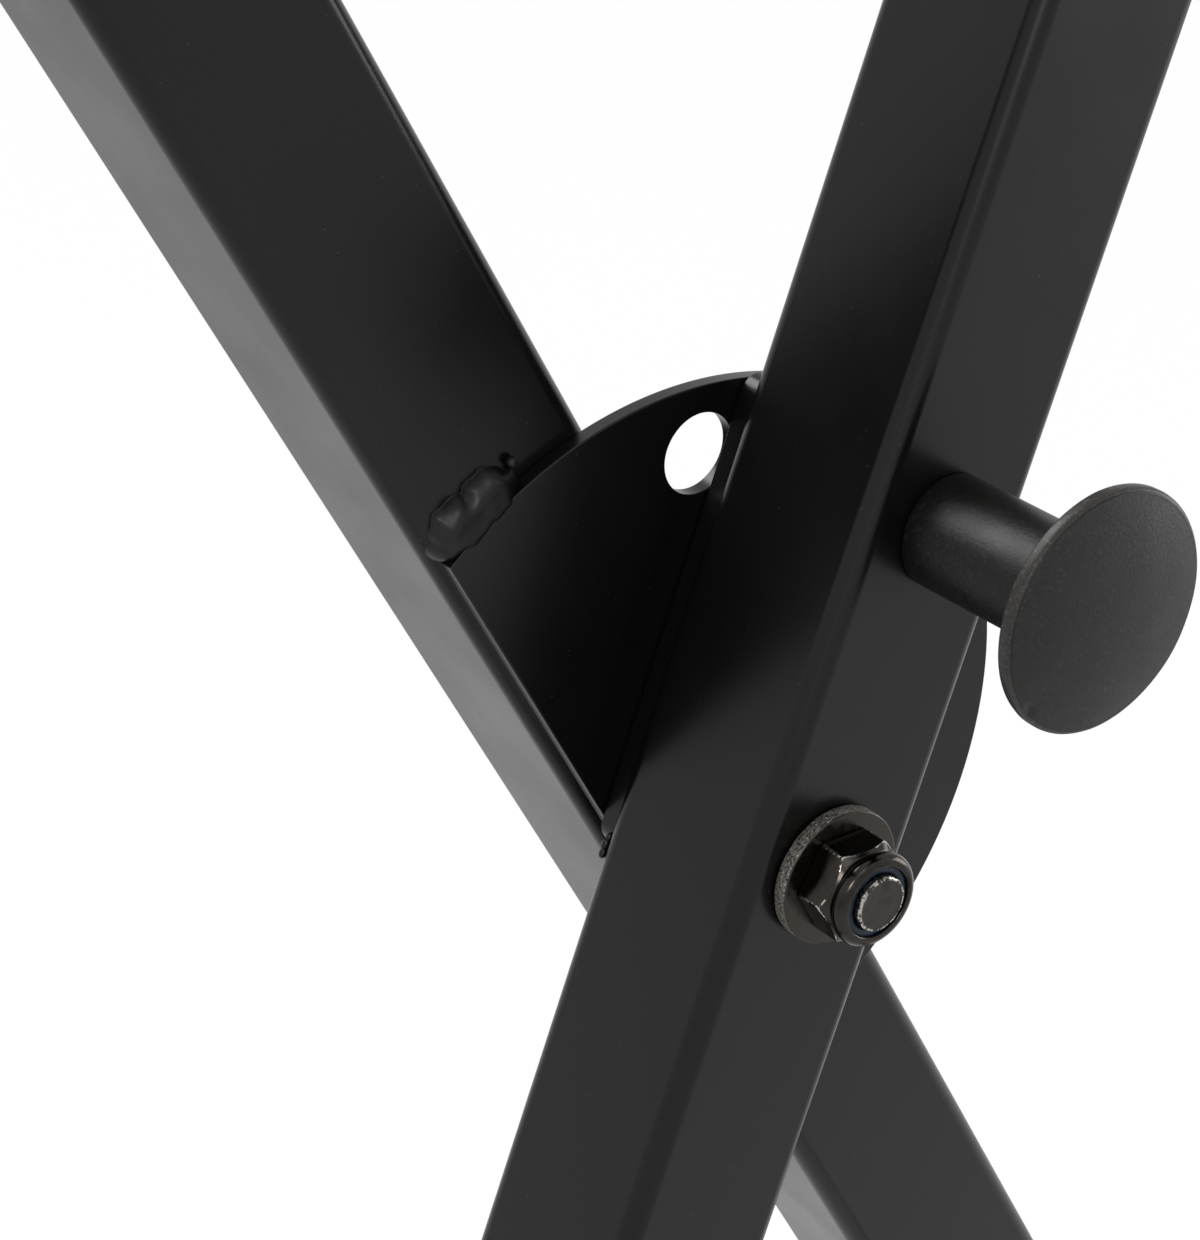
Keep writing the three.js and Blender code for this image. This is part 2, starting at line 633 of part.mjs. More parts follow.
// A moulded rubber cap: closed at -Y, bored for the bar from +Y, thickest on its working face.
function mouldedCap(length, end, side, face, corner, grooves) {
  const width = BAR_TUBE + 2 * (FIT + side);
  const height = BAR_TUBE + 2 * FIT + face + side;
  const rise = (face - side) / 2;
  const outline = new THREE.Shape();
  const inset = SOFT_EDGE;
  roundedRect(outline, width - 2 * inset, height - 2 * inset, corner - inset, 0, rise);
  const blank = new THREE.ExtrudeGeometry(outline, {
    depth: length - 2 * inset,
    bevelSize: inset,
    bevelThickness: inset,
    bevelSegments: SOFT_STEPS,
    curveSegments: CORNER_STEPS,
  });
  const body = solid(blank.rotateX(Math.PI / 2).translate(0, length - inset, 0));
  const bore = new THREE.Shape();
  roundedRect(bore, BAR_TUBE + 2 * FIT, BAR_TUBE + 2 * FIT, BAR_CORNER);
  const cutters = [solid(alongY(bore, end, length + OVERCUT, CORNER_STEPS))];
  const pitch = (length - end) / (grooves.count + 1);
  for (let i = 1; i <= grooves.count; i += 1) {
    const groove = new THREE.BoxGeometry(width + OVERCUT, grooves.width, 2 * grooves.depth);
    cutters.push(solid(groove.translate(0, end / 2 + i * pitch, BAR_TUBE / 2 + FIT + face)));
  }
  return cutAll(body, cutters);
}

const armPad = () => mouldedCap(PAD_LENGTH, PAD_END, PAD_SIDE, PAD_TOP, PAD_ROUND, {
  count: PAD_GROOVES,
  width: PAD_GROOVE_WIDTH,
  depth: PAD_GROOVE_DEPTH,
});
const footShoe = () => mouldedCap(SHOE_LENGTH, SHOE_END, SHOE_SIDE, SHOE_SOLE, SHOE_ROUND, {
  count: TREAD_GROOVES,
  width: TREAD_WIDTH,
  depth: TREAD_DEPTH,
});

// A bar with its bracket, welds, bolts, nuts and moulded ends. `offset` is the leg's place on Y.
function barAssembly(prefix, length, offset, capName, makeCap, capEnd) {
  const group = new THREE.Group();
  group.add(piece(`${prefix}_bracket`, barBracket(), powderCoat, offset));
  group.add(piece(`${prefix}_bar`, bar(length, offset), powderCoat));
  const capReach = length / 2 + capEnd + FIT;
  const [frontBolt, backBolt] = boltPlaces(offset);
  const legFace = LEG_TUBE / 2 + FIT;
  const ends = [
    { name: 'front', boltY: frontBolt, capY: -capReach, weldY: offset - legFace, turn: 0 },
    { name: 'back', boltY: backBolt, capY: capReach, weldY: offset + legFace, turn: Math.PI },
  ];
  for (const { name, boltY, capY, weldY, turn } of ends) {
    const weld = piece(`${prefix}_weld_${name}`, endWeld(), weldMetal, weldY);
    weld.position.z = -BAR_TUBE / 2 - FIT - BAR_SEAT;
    weld.rotation.z = turn;
    group.add(weld);
    group.add(piece(`${prefix}_bolt_${name}`, carriageBolt(), blackPlate, boltY));
    group.add(piece(`${prefix}_nut_${name}`, flangeNut(), blackPlate, boltY));
    const cap = piece(`${prefix}_${capName}_${name}`, makeCap(), rubber, capY);
    cap.rotation.z = turn;
    group.add(cap);
  }
  return group;
}

// Both ends of a leg: `side` is +1 where the leg leans to +X at the top, -1 where to -X.
function legEnds(legName, side, offset) {
  const arm = barAssembly(`${legName}_arm`, ARM_BAR_LENGTH, offset, 'pad', armPad, PAD_END);
  arm.position.set((side * LEG_SPREAD) / 2, 0, LEG_TOP + BAR_SEAT + FIT + BAR_TUBE / 2);
  const foot = barAssembly(`${legName}_foot`, FOOT_BAR_LENGTH, offset, 'shoe', footShoe, SHOE_END);
  foot.position.set((-side * LEG_SPREAD) / 2, 0, FOOT_BAR_BOTTOM + BAR_TUBE / 2);
  foot.rotation.y = Math.PI;
  return [arm, foot];
}

// ---- Assembly -------------------------------------------------------------------------------
function rearLegUpright() {
  const group = new THREE.Group();
  group.add(piece('rear_leg_tube', legTube(-TILT, LEG_OFFSET, () => []), powderCoat));
  group.add(piece('rear_pivot_sleeve', sleeve(FACE, OUTER_FACE), brightSteel));
  group.add(piece('index_plate', indexPlate(), powderCoat));
  group.add(piece('index_plate_weld_upper', weldBead(1), weldMetal));
  group.add(piece('index_plate_weld_lower', weldBead(-1), weldMetal));
  group.add(piece('pivot_bolt', pivotBolt(), blackPlate));
  group.add(piece('pivot_washer_back', washer(), blackPlate, OUTER_FACE));
  const frontWasher = piece('pivot_washer_front', washer(), blackPlate, -OUTER_FACE - RUN);
  frontWasher.rotation.x = Math.PI;
  group.add(frontWasher);
  group.add(piece('pivot_lock_nut', lockNut(), blackPlate));
  group.add(piece('pivot_nut_nylon_ring', nutRing(), nylonBlue));
  return group;
}

function frontLegUpright() {
  const group = new THREE.Group();
  const pinHole = (near, far) => [solid(rodY(PIN_HOLE / 2, near, far, 0, INDEX_RING))];
  group.add(piece('front_leg_tube', legTube(TILT, -LEG_OFFSET, pinHole), powderCoat));
  group.add(piece('front_pivot_sleeve', sleeve(-OUTER_FACE, PIN_BACK), brightSteel));
  group.add(piece('lock_wear_plate', lockPlate(), powderCoat));
  const lock = new THREE.Group();
  lock.add(piece('lock_pin', lockPin(), brightSteel));
  lock.add(piece('lock_pin_clip', pinClip(), springSteel));
  lock.add(piece('lock_spring', lockSpring(), springSteel));
  lock.add(piece('pull_knob', pullKnob(), knobPlastic));
  lock.position.z = INDEX_RING;
  group.add(lock);
  return group;
}

const stand = new THREE.Group();
const rearLeg = rearLegUpright();
rearLeg.position.z = PIVOT_HEIGHT;
rearLeg.rotation.y = -TILT;
const frontLeg = frontLegUpright();
frontLeg.position.z = PIVOT_HEIGHT;
frontLeg.rotation.y = TILT;
stand.add(rearLeg, ...legEnds('rear_leg', -1, LEG_OFFSET));
stand.add(frontLeg, ...legEnds('front_leg', 1, -LEG_OFFSET));

export default stand;
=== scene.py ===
"""Folding keyboard stand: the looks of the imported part, in metres.

Each visible piece is built in millimetres in the frame of the leg or bar that it belongs to,
and set on its CAD body. The legs cross at PIVOT, 25 degrees to either side of upright.
"""

import math

import bmesh
import bpy
import numpy as np
from mathutils import Matrix, Vector, noise

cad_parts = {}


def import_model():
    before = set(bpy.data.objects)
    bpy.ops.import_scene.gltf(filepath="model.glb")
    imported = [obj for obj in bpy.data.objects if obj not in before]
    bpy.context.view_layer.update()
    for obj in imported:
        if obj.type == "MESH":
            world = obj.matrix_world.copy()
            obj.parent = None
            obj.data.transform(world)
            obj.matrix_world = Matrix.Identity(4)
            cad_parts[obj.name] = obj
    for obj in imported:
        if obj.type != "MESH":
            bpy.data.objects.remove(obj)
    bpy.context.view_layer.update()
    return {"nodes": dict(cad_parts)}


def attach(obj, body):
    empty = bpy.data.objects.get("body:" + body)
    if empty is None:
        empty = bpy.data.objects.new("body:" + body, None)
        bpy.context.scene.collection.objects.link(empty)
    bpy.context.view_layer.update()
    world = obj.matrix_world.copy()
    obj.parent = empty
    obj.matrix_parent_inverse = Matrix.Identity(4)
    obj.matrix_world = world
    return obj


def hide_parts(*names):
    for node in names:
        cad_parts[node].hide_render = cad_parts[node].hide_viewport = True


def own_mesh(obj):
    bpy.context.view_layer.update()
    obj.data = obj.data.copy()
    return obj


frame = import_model()

# ---- Places
MM = 0.001
PIVOT = Vector((0.0, 0.0, 0.4487385))
TILT = math.radians(25)
REAR = Matrix.Translation(PIVOT) @ Matrix.Rotation(-TILT, 4, "Y")
FRONT = Matrix.Translation(PIVOT) @ Matrix.Rotation(TILT, 4, "Y")
LOCK = FRONT @ Matrix.Translation((0, 0, 0.052))
HALF_SPREAD = 0.1901782
ARM_HEIGHT = 0.875177
FOOT_HEIGHT = 0.0223
FLIP = Matrix.Rotation(math.pi, 4, "Y")
UPRIGHT = Matrix.Rotation(math.radians(90), 4, "X")  # a drawing in X and Y stands up in X and Z

# ---- Sizes, in millimetres
TUBE, TUBE_WALL, TUBE_CORNER = 30, 1.5, 3  # square tube of the legs and the bars
LEG_LENGTH = 900
LEG_MIDDLE = 18  # from the plane between the legs to a leg's axis
DRILL_REACH = 20  # from a leg's axis to either end of a drill
SLEEVE_HOLE = 8.05  # radius
PIN_HOLE = 6.2  # radius
PIN_AT = 52  # from the pivot to the lock pin
BOLT_HOLE = 5.3  # radius
INDEX_RADIUS, INDEX_CHORD = 62.5, 13.5
INDEX_BACK, INDEX_FRONT = 3.0, 0.5
INDEX_HOLES, INDEX_FIRST, INDEX_PITCH = 5, 31.3, 18.7  # first hole and pitch in degrees
WEAR_BACK, WEAR_FRONT = 0.2, -3.0
WEAR_WIDTH, WEAR_HEIGHT, WEAR_CORNER, WEAR_MIDDLE = 26, 73, 3, 26
NUT_ACROSS, NUT_BACK, NUT_HEXAGON_END = 14, -35.6, -41.2
HEAD_BACK, HEAD_FRONT = 35.3, 41.7
BRACKET_HALF = 46  # half its length
BAR_BOLT_AT = 31  # from the leg's axis to a bar bolt
BAR_BOLT_HOLE = 4.3  # radius
WELD_AT = 15.3  # from a leg's axis to its end welds
CAP_BORE, CAP_BORE_HALF = 30.6, 15.3  # the hollow of a pad or shoe round its bar
ARM_BAR_LENGTH, FOOT_BAR_LENGTH = 340, 460


# ---- Building tools
def linked(name, data):
    """A new object in the scene."""
    obj = bpy.data.objects.new(name, data)
    bpy.context.scene.collection.objects.link(obj)
    return obj


def evaluated(obj):
    """The object's mesh with its modifiers applied."""
    bpy.context.view_layer.update()
    graph = bpy.context.evaluated_depsgraph_get()
    return bpy.data.meshes.new_from_object(obj.evaluated_get(graph))


def mesh_object(name, verts, faces, place):
    """A mesh from points in millimetres, standing at `place`."""
    mesh = bpy.data.meshes.new(name)
    mesh.from_pydata([Vector(v) * MM for v in verts], [], faces)
    mesh.validate()
    obj = linked(name, mesh)
    obj.matrix_world = place
    fix_normals(obj)
    return obj


def fix_normals(obj):
    bm = bmesh.new()
    bm.from_mesh(obj.data)
    bmesh.ops.remove_doubles(bm, verts=bm.verts, dist=1e-7)
    bmesh.ops.recalc_face_normals(bm, faces=bm.faces)
    bm.to_mesh(obj.data)
    bm.free()


def join(name, parts):
    """One object from several; all of them share the first one's place."""
    bm = bmesh.new()
    first = parts[0].matrix_world.copy()
    for part in parts:
        mesh = part.data.copy()
        mesh.transform(first.inverted() @ part.matrix_world)
        bm.from_mesh(mesh)
        bpy.data.meshes.remove(mesh)
    mesh = bpy.data.meshes.new(name)
    bm.to_mesh(mesh)
    bm.free()
    for part in parts:
        bpy.data.objects.remove(part)
    obj = linked(name, mesh)
    obj.matrix_world = first
    return obj


def bake(obj):
    """Applies the object's modifiers."""
    mesh = evaluated(obj)
    obj.modifiers.clear()
    obj.data = mesh
    return obj


def cut(obj, cutters):
    """Takes the cutters out of the object, one after another."""
    for cutter in cutters:
        modifier = obj.modifiers.new("cut", "BOOLEAN")
        modifier.operation = "DIFFERENCE"
        modifier.solver = "EXACT"
        modifier.object = cutter
        bake(obj)
        bpy.data.objects.remove(cutter)
    return obj


def soften(obj, width, segments, angle):
    """Rounds every sharp edge by `width` millimetres."""
    modifier = obj.modifiers.new("edge", "BEVEL")
    modifier.width = width * MM
    modifier.segments = segments
    modifier.limit_method = "ANGLE"
    modifier.angle_limit = math.radians(angle)
    modifier.use_clamp_overlap = True
    return bake(obj)


def shade(obj, angle=40, weighted=True):
    """Smooth faces that stay sharp where they meet at more than `angle` degrees."""
    obj.data.shade_smooth()
    obj.data.set_sharp_from_angle(angle=math.radians(angle))
    if weighted:
        modifier = obj.modifiers.new("normals", "WEIGHTED_NORMAL")
        modifier.keep_sharp = True
        modifier.weight = 80
    return obj


def finish_piece(obj, material, body, stands_for=()):
    """Gives a piece its material and body, and the CAD nodes that it takes the place of."""
    obj.data.materials.clear()
    obj.data.materials.append(material)
    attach(obj, body)
    if stands_for:
        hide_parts(*stands_for)
    return obj


def rounded_rect(width, height, radius, steps=8, x=0.0, y=0.0):
    points = []
    for corner, start in enumerate((-90, 0, 90, 180)):
        cx = x + (width / 2 - radius) * (1 if corner in (0, 1) else -1)
        cy = y + (height / 2 - radius) * (1 if corner in (1, 2) else -1)
        for i in range(steps + 1):
            turn = math.radians(start + 90 * i / steps)
            points.append((cx + radius * math.cos(turn), cy + radius * math.sin(turn)))
    return points


def arc(radius, start, end, steps, x=0.0, y=0.0):
    """Points on an arc; the angles in degrees run clockwise from up."""
    turns = [math.radians(start + (end - start) * i / steps) for i in range(steps + 1)]
    return [(x + radius * math.sin(t), y + radius * math.cos(t)) for t in turns]


def loft(name, rings, place, closed_start=True, closed_end=True, around=False):
    """A skin over rings that all have the same number of points."""
    count = len(rings[0])
    verts = [v for ring in rings for v in ring]
    faces = []
    last = len(rings) if around else len(rings) - 1
    for k in range(last):
        a, b = k * count, ((k + 1) % len(rings)) * count
        for i in range(count):
            j = (i + 1) % count
            faces.append((a + i, a + j, b + j, b + i))
    if closed_start and not around:
        faces.append(tuple(range(count)))
    if closed_end and not around:
        faces.append(tuple((len(rings) - 1) * count + i for i in range(count)))
    return mesh_object(name, verts, faces, place)


def lathe(name, profile, place, sides=96):
    """A turned piece round Y from (radius, y) pairs that close, or end on the axis."""
    turns = [2 * math.pi * i / sides for i in range(sides)]
    closed = profile[0] == profile[-1]
    points = profile[:-1] if closed else profile
    verts, faces, rings = [], [], []
    for radius, y in points:
        if radius < 1e-9:
            rings.append([len(verts)])
            verts.append((0, y, 0))
        else:
            rings.append(list(range(len(verts), len(verts) + sides)))
            verts += [(radius * math.cos(t), y, radius * math.sin(t)) for t in turns]
    pairs = list(zip(rings, rings[1:] + rings[:1] if closed else rings[1:]))
    for a, b in pairs:
        for i in range(sides):
            j = (i + 1) % sides
            if len(a) == 1:
                faces.append((a[0], b[j], b[i]))
            elif len(b) == 1:
                faces.append((a[i], a[j], b[0]))
            else:
                faces.append((a[i], a[j], b[j], b[i]))
    return mesh_object(name, verts, faces, place)


def flat_plate(name, loops, back, front, place, edge):
    """A plate in X and Z with holes, from y=`front` to y=`back`, its edges rounded by `edge`."""
    curve = bpy.data.curves.new(name, "CURVE")
    curve.dimensions = "2D"
    curve.fill_mode = "BOTH"
    curve.extrude = ((back - front) / 2 - edge) * MM
    curve.bevel_depth = edge * MM
    curve.bevel_resolution = 3
    curve.offset = -edge * MM
    for loop in loops:
        spline = curve.splines.new("POLY")
        spline.points.add(len(loop) - 1)
        for point, (x, y) in zip(spline.points, loop):
            point.co = (x * MM, y * MM, 0, 1)
        spline.use_cyclic_u = True
    drawn = linked(name, curve)
    mesh = evaluated(drawn)
    bpy.data.objects.remove(drawn)
    mesh.transform(Matrix.Translation((0, (front + back) / 2 * MM, 0)) @ UPRIGHT)
    obj = linked(name, mesh)
    obj.matrix_world = place
    fix_normals(obj)
    return obj


def rod(radius, y0, y1, place, x=0.0, z=0.0, sides=48):
    """A round bar along Y."""
    rings = [[(x + radius * math.cos(2 * math.pi * i / sides), y,
               z + radius * math.sin(2 * math.pi * i / sides)) for i in range(sides)]
             for y in (y0, y1)]
    return loft("rod", rings, place)


def post(radius, z0, z1, place, x=0.0, y=0.0, sides=40):
    """A round bar along Z."""
    rings = [[(x + radius * math.cos(2 * math.pi * i / sides),
               y + radius * math.sin(2 * math.pi * i / sides), z) for i in range(sides)]
             for z in (z0, z1)]
    return loft("post", rings, place)


def square_tube(name, size, wall, corner, length, shear, centre_y, place):
    """A hollow square tube along Z with its ends sheared to be level."""
    outer = rounded_rect(size, size, corner)
    inner = rounded_rect(size - 2 * wall, size - 2 * wall, corner - wall)
    ring = lambda loop, z: [(x, y + centre_y, z + shear * x) for x, y in loop]
    half = length / 2
    rings = [ring(inner, -half), ring(outer, -half), ring(outer, half), ring(inner, half)]
    return loft(name, rings, place, around=True)


# ---- Materials
class Look:
    """A Principled material with a few procedural layers in object space."""

    def __init__(self, name, base, roughness, metallic=0.0, **sockets):
        self.material = bpy.data.materials.new(name)
        self.material.use_nodes = True
        self.nodes = self.material.node_tree.nodes
        self.links = self.material.node_tree.links
        self.shader = self.nodes["Principled BSDF"]
        self.shader.inputs["Base Color"].default_value = (*base, 1)
        self.shader.inputs["Roughness"].default_value = roughness
        self.shader.inputs["Metallic"].default_value = metallic
        for key, value in sockets.items():
            self.shader.inputs[key.replace("_", " ")].default_value = value
        self.base = base
        self.place = self.nodes.new("ShaderNodeTexCoord").outputs["Object"]
        self.normal = None

    def noise(self, scale, detail=2.0, roughness=0.5, stretch=None):
        node = self.nodes.new("ShaderNodeTexNoise")
        node.inputs["Scale"].default_value = scale
        node.inputs["Detail"].default_value = detail
        node.inputs["Roughness"].default_value = roughness
        self.links.new(self.stretched(stretch), node.inputs["Vector"])
        return node.outputs["Fac"]

    def stretched(self, stretch):
        if stretch is None:
            return self.place
        node = self.nodes.new("ShaderNodeMapping")
        node.inputs["Scale"].default_value = stretch
        self.links.new(self.place, node.inputs["Vector"])
        return node.outputs["Vector"]

    def cells(self, scale):
        node = self.nodes.new("ShaderNodeTexVoronoi")
        node.inputs["Scale"].default_value = scale
        self.links.new(self.place, node.inputs["Vector"])
        return node.outputs["Distance"]

    def ramp(self, value, low, high, to_low=0.0, to_high=1.0):
        """Maps low..high to to_low..to_high and stays there beyond."""
        node = self.nodes.new("ShaderNodeMapRange")
        node.inputs["From Min"].default_value = low
        node.inputs["From Max"].default_value = high
        node.inputs["To Min"].default_value = to_low
        node.inputs["To Max"].default_value = to_high
        self.links.new(value, node.inputs["Value"])
        return node.outputs["Result"]

    def times(self, a, b):
        node = self.nodes.new("ShaderNodeMath")
        node.operation = "MULTIPLY"
        self.links.new(a, node.inputs[0])
        self.links.new(b, node.inputs[1])
        return node.outputs[0]

    def roughen(self, value):
        self.links.new(value, self.shader.inputs["Roughness"])

    def bump(self, height, distance, strength=1.0):
        node = self.nodes.new("ShaderNodeBump")
        node.inputs["Strength"].default_value = strength
        node.inputs["Distance"].default_value = distance * MM
        self.links.new(height, node.inputs["Height"])
        if self.normal:
            self.links.new(self.normal, node.inputs["Normal"])
        self.normal = node.outputs["Normal"]
        self.links.new(self.normal, self.shader.inputs["Normal"])

    def tint(self, mask, colour):
        """Mixes `colour` over the base where `mask` is 1."""
        node = self.nodes.new("ShaderNodeMix")
        node.data_type = "RGBA"
        self.links.new(mask, node.inputs["Factor"])
        socket = self.shader.inputs["Base Color"]
        if socket.is_linked:
            self.links.new(socket.links[0].from_socket, node.inputs["A"])
        else:
            node.inputs["A"].default_value = (*self.base, 1)
        node.inputs["B"].default_value = (*colour, 1)
        self.links.new(node.outputs["Result"], socket)


def powder_coat():
    look = Look("powder_coat", (0.0028, 0.0027, 0.0026), 0.28, IOR=1.32)
    look.roughen(look.ramp(look.noise(45, 4), 0.3, 0.7, 0.24, 0.32))
    look.bump(look.noise(1400, 2), 0.012, 0.35)
    look.bump(look.noise(260, 3), 0.02, 0.25)
    specks = look.ramp(look.cells(900), 0.1, 0.06)
    sparse = look.ramp(look.noise(420, 2), 0.6, 0.66)
    look.tint(look.times(specks, sparse), (0.07, 0.068, 0.065))
    return look.material


def weld_coat():
    look = Look("weld", (0.003, 0.0029, 0.0028), 0.36, IOR=1.35)
    look.roughen(look.ramp(look.noise(300, 3), 0.35, 0.7, 0.32, 0.48))
    look.bump(look.noise(420, 3), 0.03, 0.4)
    return look.material


def black_plate():
    look = Look("black_plate", (0.036, 0.032, 0.029), 0.16, 1.0)
    look.roughen(look.ramp(look.noise(500, 4), 0.3, 0.75, 0.1, 0.26))
    look.tint(look.ramp(look.noise(260, 3), 0.45, 0.7), (0.018, 0.016, 0.014))
    look.bump(look.noise(900, 3), 0.012, 0.35)
    return look.material


def washer_plate():
    look = Look("washer_plate", (0.042, 0.038, 0.034), 0.24, 1.0)
    look.roughen(look.ramp(look.noise(700, 4), 0.3, 0.7, 0.16, 0.34))
    look.bump(look.noise(1600, 3), 0.03, 0.4)
    return look.material


def washer_rim():
    look = Look("washer_rim", (0.2, 0.185, 0.165), 0.68, 0.55)
    look.tint(look.ramp(look.noise(2200, 2), 0.5, 0.6), (0.03, 0.027, 0.024))
    look.tint(look.ramp(look.noise(2900, 1), 0.62, 0.68), (0.55, 0.52, 0.48))
    look.bump(look.noise(2400, 3), 0.1, 0.9)
    return look.material


# Black plating with pale bare-metal chips: partly real wear on the edges, partly a painted
# highlight along them
def worn_and_glint_plate():
    look = Look("worn_and_glint_plate", (0.036, 0.032, 0.029), 0.24, 1.0)
    chips_and_glints = look.ramp(look.noise(1500, 3, 0.65), 0.47, 0.53)
    look.tint(chips_and_glints, (0.4, 0.375, 0.345))
    look.bump(look.noise(1500, 3, 0.65), 0.03, 0.5)
    return look.material


def bolt_end():
    look = Look("bolt_end", (0.046, 0.042, 0.039), 0.3, 1.0)
    look.roughen(look.ramp(look.noise(700, 4), 0.3, 0.7, 0.24, 0.4))
    look.tint(look.ramp(look.noise(420, 4), 0.5, 0.75), (0.028, 0.0255, 0.0235))
    look.bump(look.noise(1500, 3), 0.015, 0.4)
    return look.material


def turned_steel(name, base, roughness):
    look = Look(name, base, roughness, 1.0)
    look.roughen(look.ramp(look.noise(600, 3), 0.3, 0.7, roughness - 0.06, roughness + 0.1))
    look.bump(look.noise(1200, 2, stretch=(0.15, 6, 0.15)), 0.006, 0.5)
    look.tint(look.ramp(look.noise(180, 3), 0.55, 0.75), tuple(c * 0.6 for c in base))
    return look.material


def knob_plastic(name="knob_plastic", base=(0.0034, 0.0032, 0.0029), grain=1.0):
    look = Look(name, base, 0.5, Specular_IOR_Level=0.28)
    look.roughen(look.ramp(look.noise(160, 3), 0.3, 0.7, 0.4, 0.48))
    paler = tuple(c * (1 + 1.3 * grain) for c in base)
    look.tint(look.ramp(look.noise(1500, 3, 0.7), 0.5, 0.64), paler)
    palest = tuple(c * (1 + 4 * grain) for c in base)
    look.tint(look.ramp(look.noise(1900, 2, 0.6), 0.6, 0.66), palest)
    look.bump(look.noise(2300, 3, 0.7), 0.06 * grain, 0.7)
    look.bump(look.noise(140, 3), 0.04, 0.2)
    swirl = look.noise(260, 2, 0.5, (1.0, 1.0, 0.25))
    look.tint(look.ramp(swirl, 0.54, 0.72), tuple(c * 1.5 for c in base))
    pits = look.times(look.ramp(look.cells(420), 0.16, 0.1), look.ramp(look.noise(330), 0.58, 0.62))
    look.tint(pits, (0.001, 0.001, 0.001))
    return look.material


def rubber():
    look = Look("rubber", (0.0095, 0.0095, 0.0098), 0.62, Specular_IOR_Level=0.4)
    look.roughen(look.ramp(look.noise(120, 4), 0.3, 0.7, 0.56, 0.74))
    look.bump(look.noise(1900, 3), 0.05, 0.4)
    look.tint(look.ramp(look.noise(60, 5), 0.62, 0.8), (0.018, 0.018, 0.018))
    return look.material


def nylon():
    look = Look("nylon_blue", (0.0012, 0.0105, 0.0245), 0.42, Specular_IOR_Level=0.25)
    look.tint(look.ramp(look.noise(700, 3), 0.5, 0.7), (0.0006, 0.0047, 0.0128))
    look.bump(look.noise(900, 2), 0.05, 0.5)
    return look.material


COAT = powder_coat()
WELD = weld_coat()
PLATE = black_plate()
WASHER = washer_plate()
WASHER_RIM = washer_rim()
# the next material: worn plating with a painted highlight on edges
WORN_AND_GLINT = worn_and_glint_plate()
BOLT_END = bolt_end()
STEEL = turned_steel("bright_steel", (0.5, 0.5, 0.5), 0.28)
SPRING = turned_steel("spring_steel", (0.22, 0.22, 0.225), 0.3)
KNOB = knob_plastic()
# a paler copy of the knob plastic for its edge band: painted light
KNOB_PAINTED_LIGHT = knob_plastic("knob_edge_painted_light", (0.02, 0.0188, 0.0174), 0.5)
RUBBER = rubber()
NYLON = nylon()


# ---- Legs and plates at the crossing
def leg_tube(name, lean, centre_y, place, holes, body):
    """A leg with level ends, drilled for its sleeve and at each (radius, z) in `holes`."""
    tube = square_tube(name, TUBE, TUBE_WALL, TUBE_CORNER, LEG_LENGTH, math.tan(lean), centre_y,
                       place)
    start, end = centre_y - DRILL_REACH, centre_y + DRILL_REACH
    tube = cut(tube, [rod(r, start, end, place, 0, z) for r, z in [(SLEEVE_HOLE, 0)] + holes])
    finish_piece(shade(tube), COAT, body, [name])


def drilled(radius, x=0.0, z=0.0):
    """A round hole in a plate's drawing."""
    return arc(radius, 0, 354, 59, x, z)


def index_plate():
    """The round plate with one straight side and its ring of holes."""
    half = math.sqrt(INDEX_RADIUS ** 2 - INDEX_CHORD ** 2)
    start = math.degrees(math.atan2(-INDEX_CHORD, half))
    outline = arc(INDEX_RADIUS, start, 180 - start, 220)
    holes = [drilled(BOLT_HOLE)]
    for i in range(INDEX_HOLES):
        turn = math.radians(INDEX_FIRST + INDEX_PITCH * i)
        holes.append(drilled(PIN_HOLE, PIN_AT * math.sin(turn), PIN_AT * math.cos(turn)))
    plate = flat_plate("index_plate_face", [outline] + holes, INDEX_BACK, INDEX_FRONT, REAR, 0.28)
    finish_piece(shade(plate, 30), COAT, "rear_leg", ["index_plate"])


def wear_plate():
    outline = rounded_rect(WEAR_WIDTH, WEAR_HEIGHT, WEAR_CORNER, 8, 0, WEAR_MIDDLE)
    holes = [drilled(SLEEVE_HOLE), drilled(PIN_HOLE, 0, PIN_AT)]
    plate = flat_plate("wear_plate", [outline] + holes, WEAR_BACK, WEAR_FRONT, FRONT, 0.14)
    finish_piece(shade(plate, 30), COAT, "front_leg", ["lock_wear_plate"])


def displaced(obj, height):
    """Moves each vertex along its normal by height(point) millimetres."""
    mesh = obj.data
    count = len(mesh.vertices)
    places, normals = np.empty(count * 3), np.empty(count * 3)
    mesh.vertices.foreach_get("co", places)
    mesh.vertex_normals.foreach_get("vector", normals)
    places = places.reshape(-1, 3)
    offsets = np.array([height(Vector(p / MM)) for p in places]) * MM
    places += normals.reshape(-1, 3) * offsets[:, None]
    mesh.vertices.foreach_set("co", places.ravel())
    mesh.update()
    return obj


def ellipsoid_drop(name, x, y, z, radii, place, rough=0.03):
    """A small frozen drop of weld metal."""
    rings, sides = 14, 24
    turns = [2 * math.pi * i / sides for i in range(sides)]
    skin = [[(x + radii[0] * math.sin(lift) * math.cos(turn),
              y + radii[1] * math.sin(lift) * math.sin(turn),
              z + radii[2] * math.cos(lift)) for turn in turns]
            for lift in (math.pi * k / rings for k in range(rings + 1))]
    drop = loft(name, skin, place, closed_start=False, closed_end=False)
    drop.data.shade_smooth()
    return displaced(drop, lambda p: noise.noise(p * 1.1) * rough)


def tube_face(x):
    """Height of the rear leg's front face and rounded corner over its middle plane, at x."""
    past = max(abs(x) - 12.0, 0.0)
    return 6.0 - math.sqrt(max(9.0 - past * past, 0.0))


WELD_LEVEL = 0.27  # the folding wear plate passes just in front of this
WELD_SWELL = 0.55  # how far the puddle stands out beyond the wear plate's sweep
WELD_SWEEP, WELD_SWELL_WIDTH = 64.4, 4.4  # where the swell starts, and the band it grows over
WELD_RIPPLE = 0.05
WELD_BLEND = 2.0  # higher keeps the lumps more apart
WELD_ROUND = 0.2  # rounding where the puddle meets its level
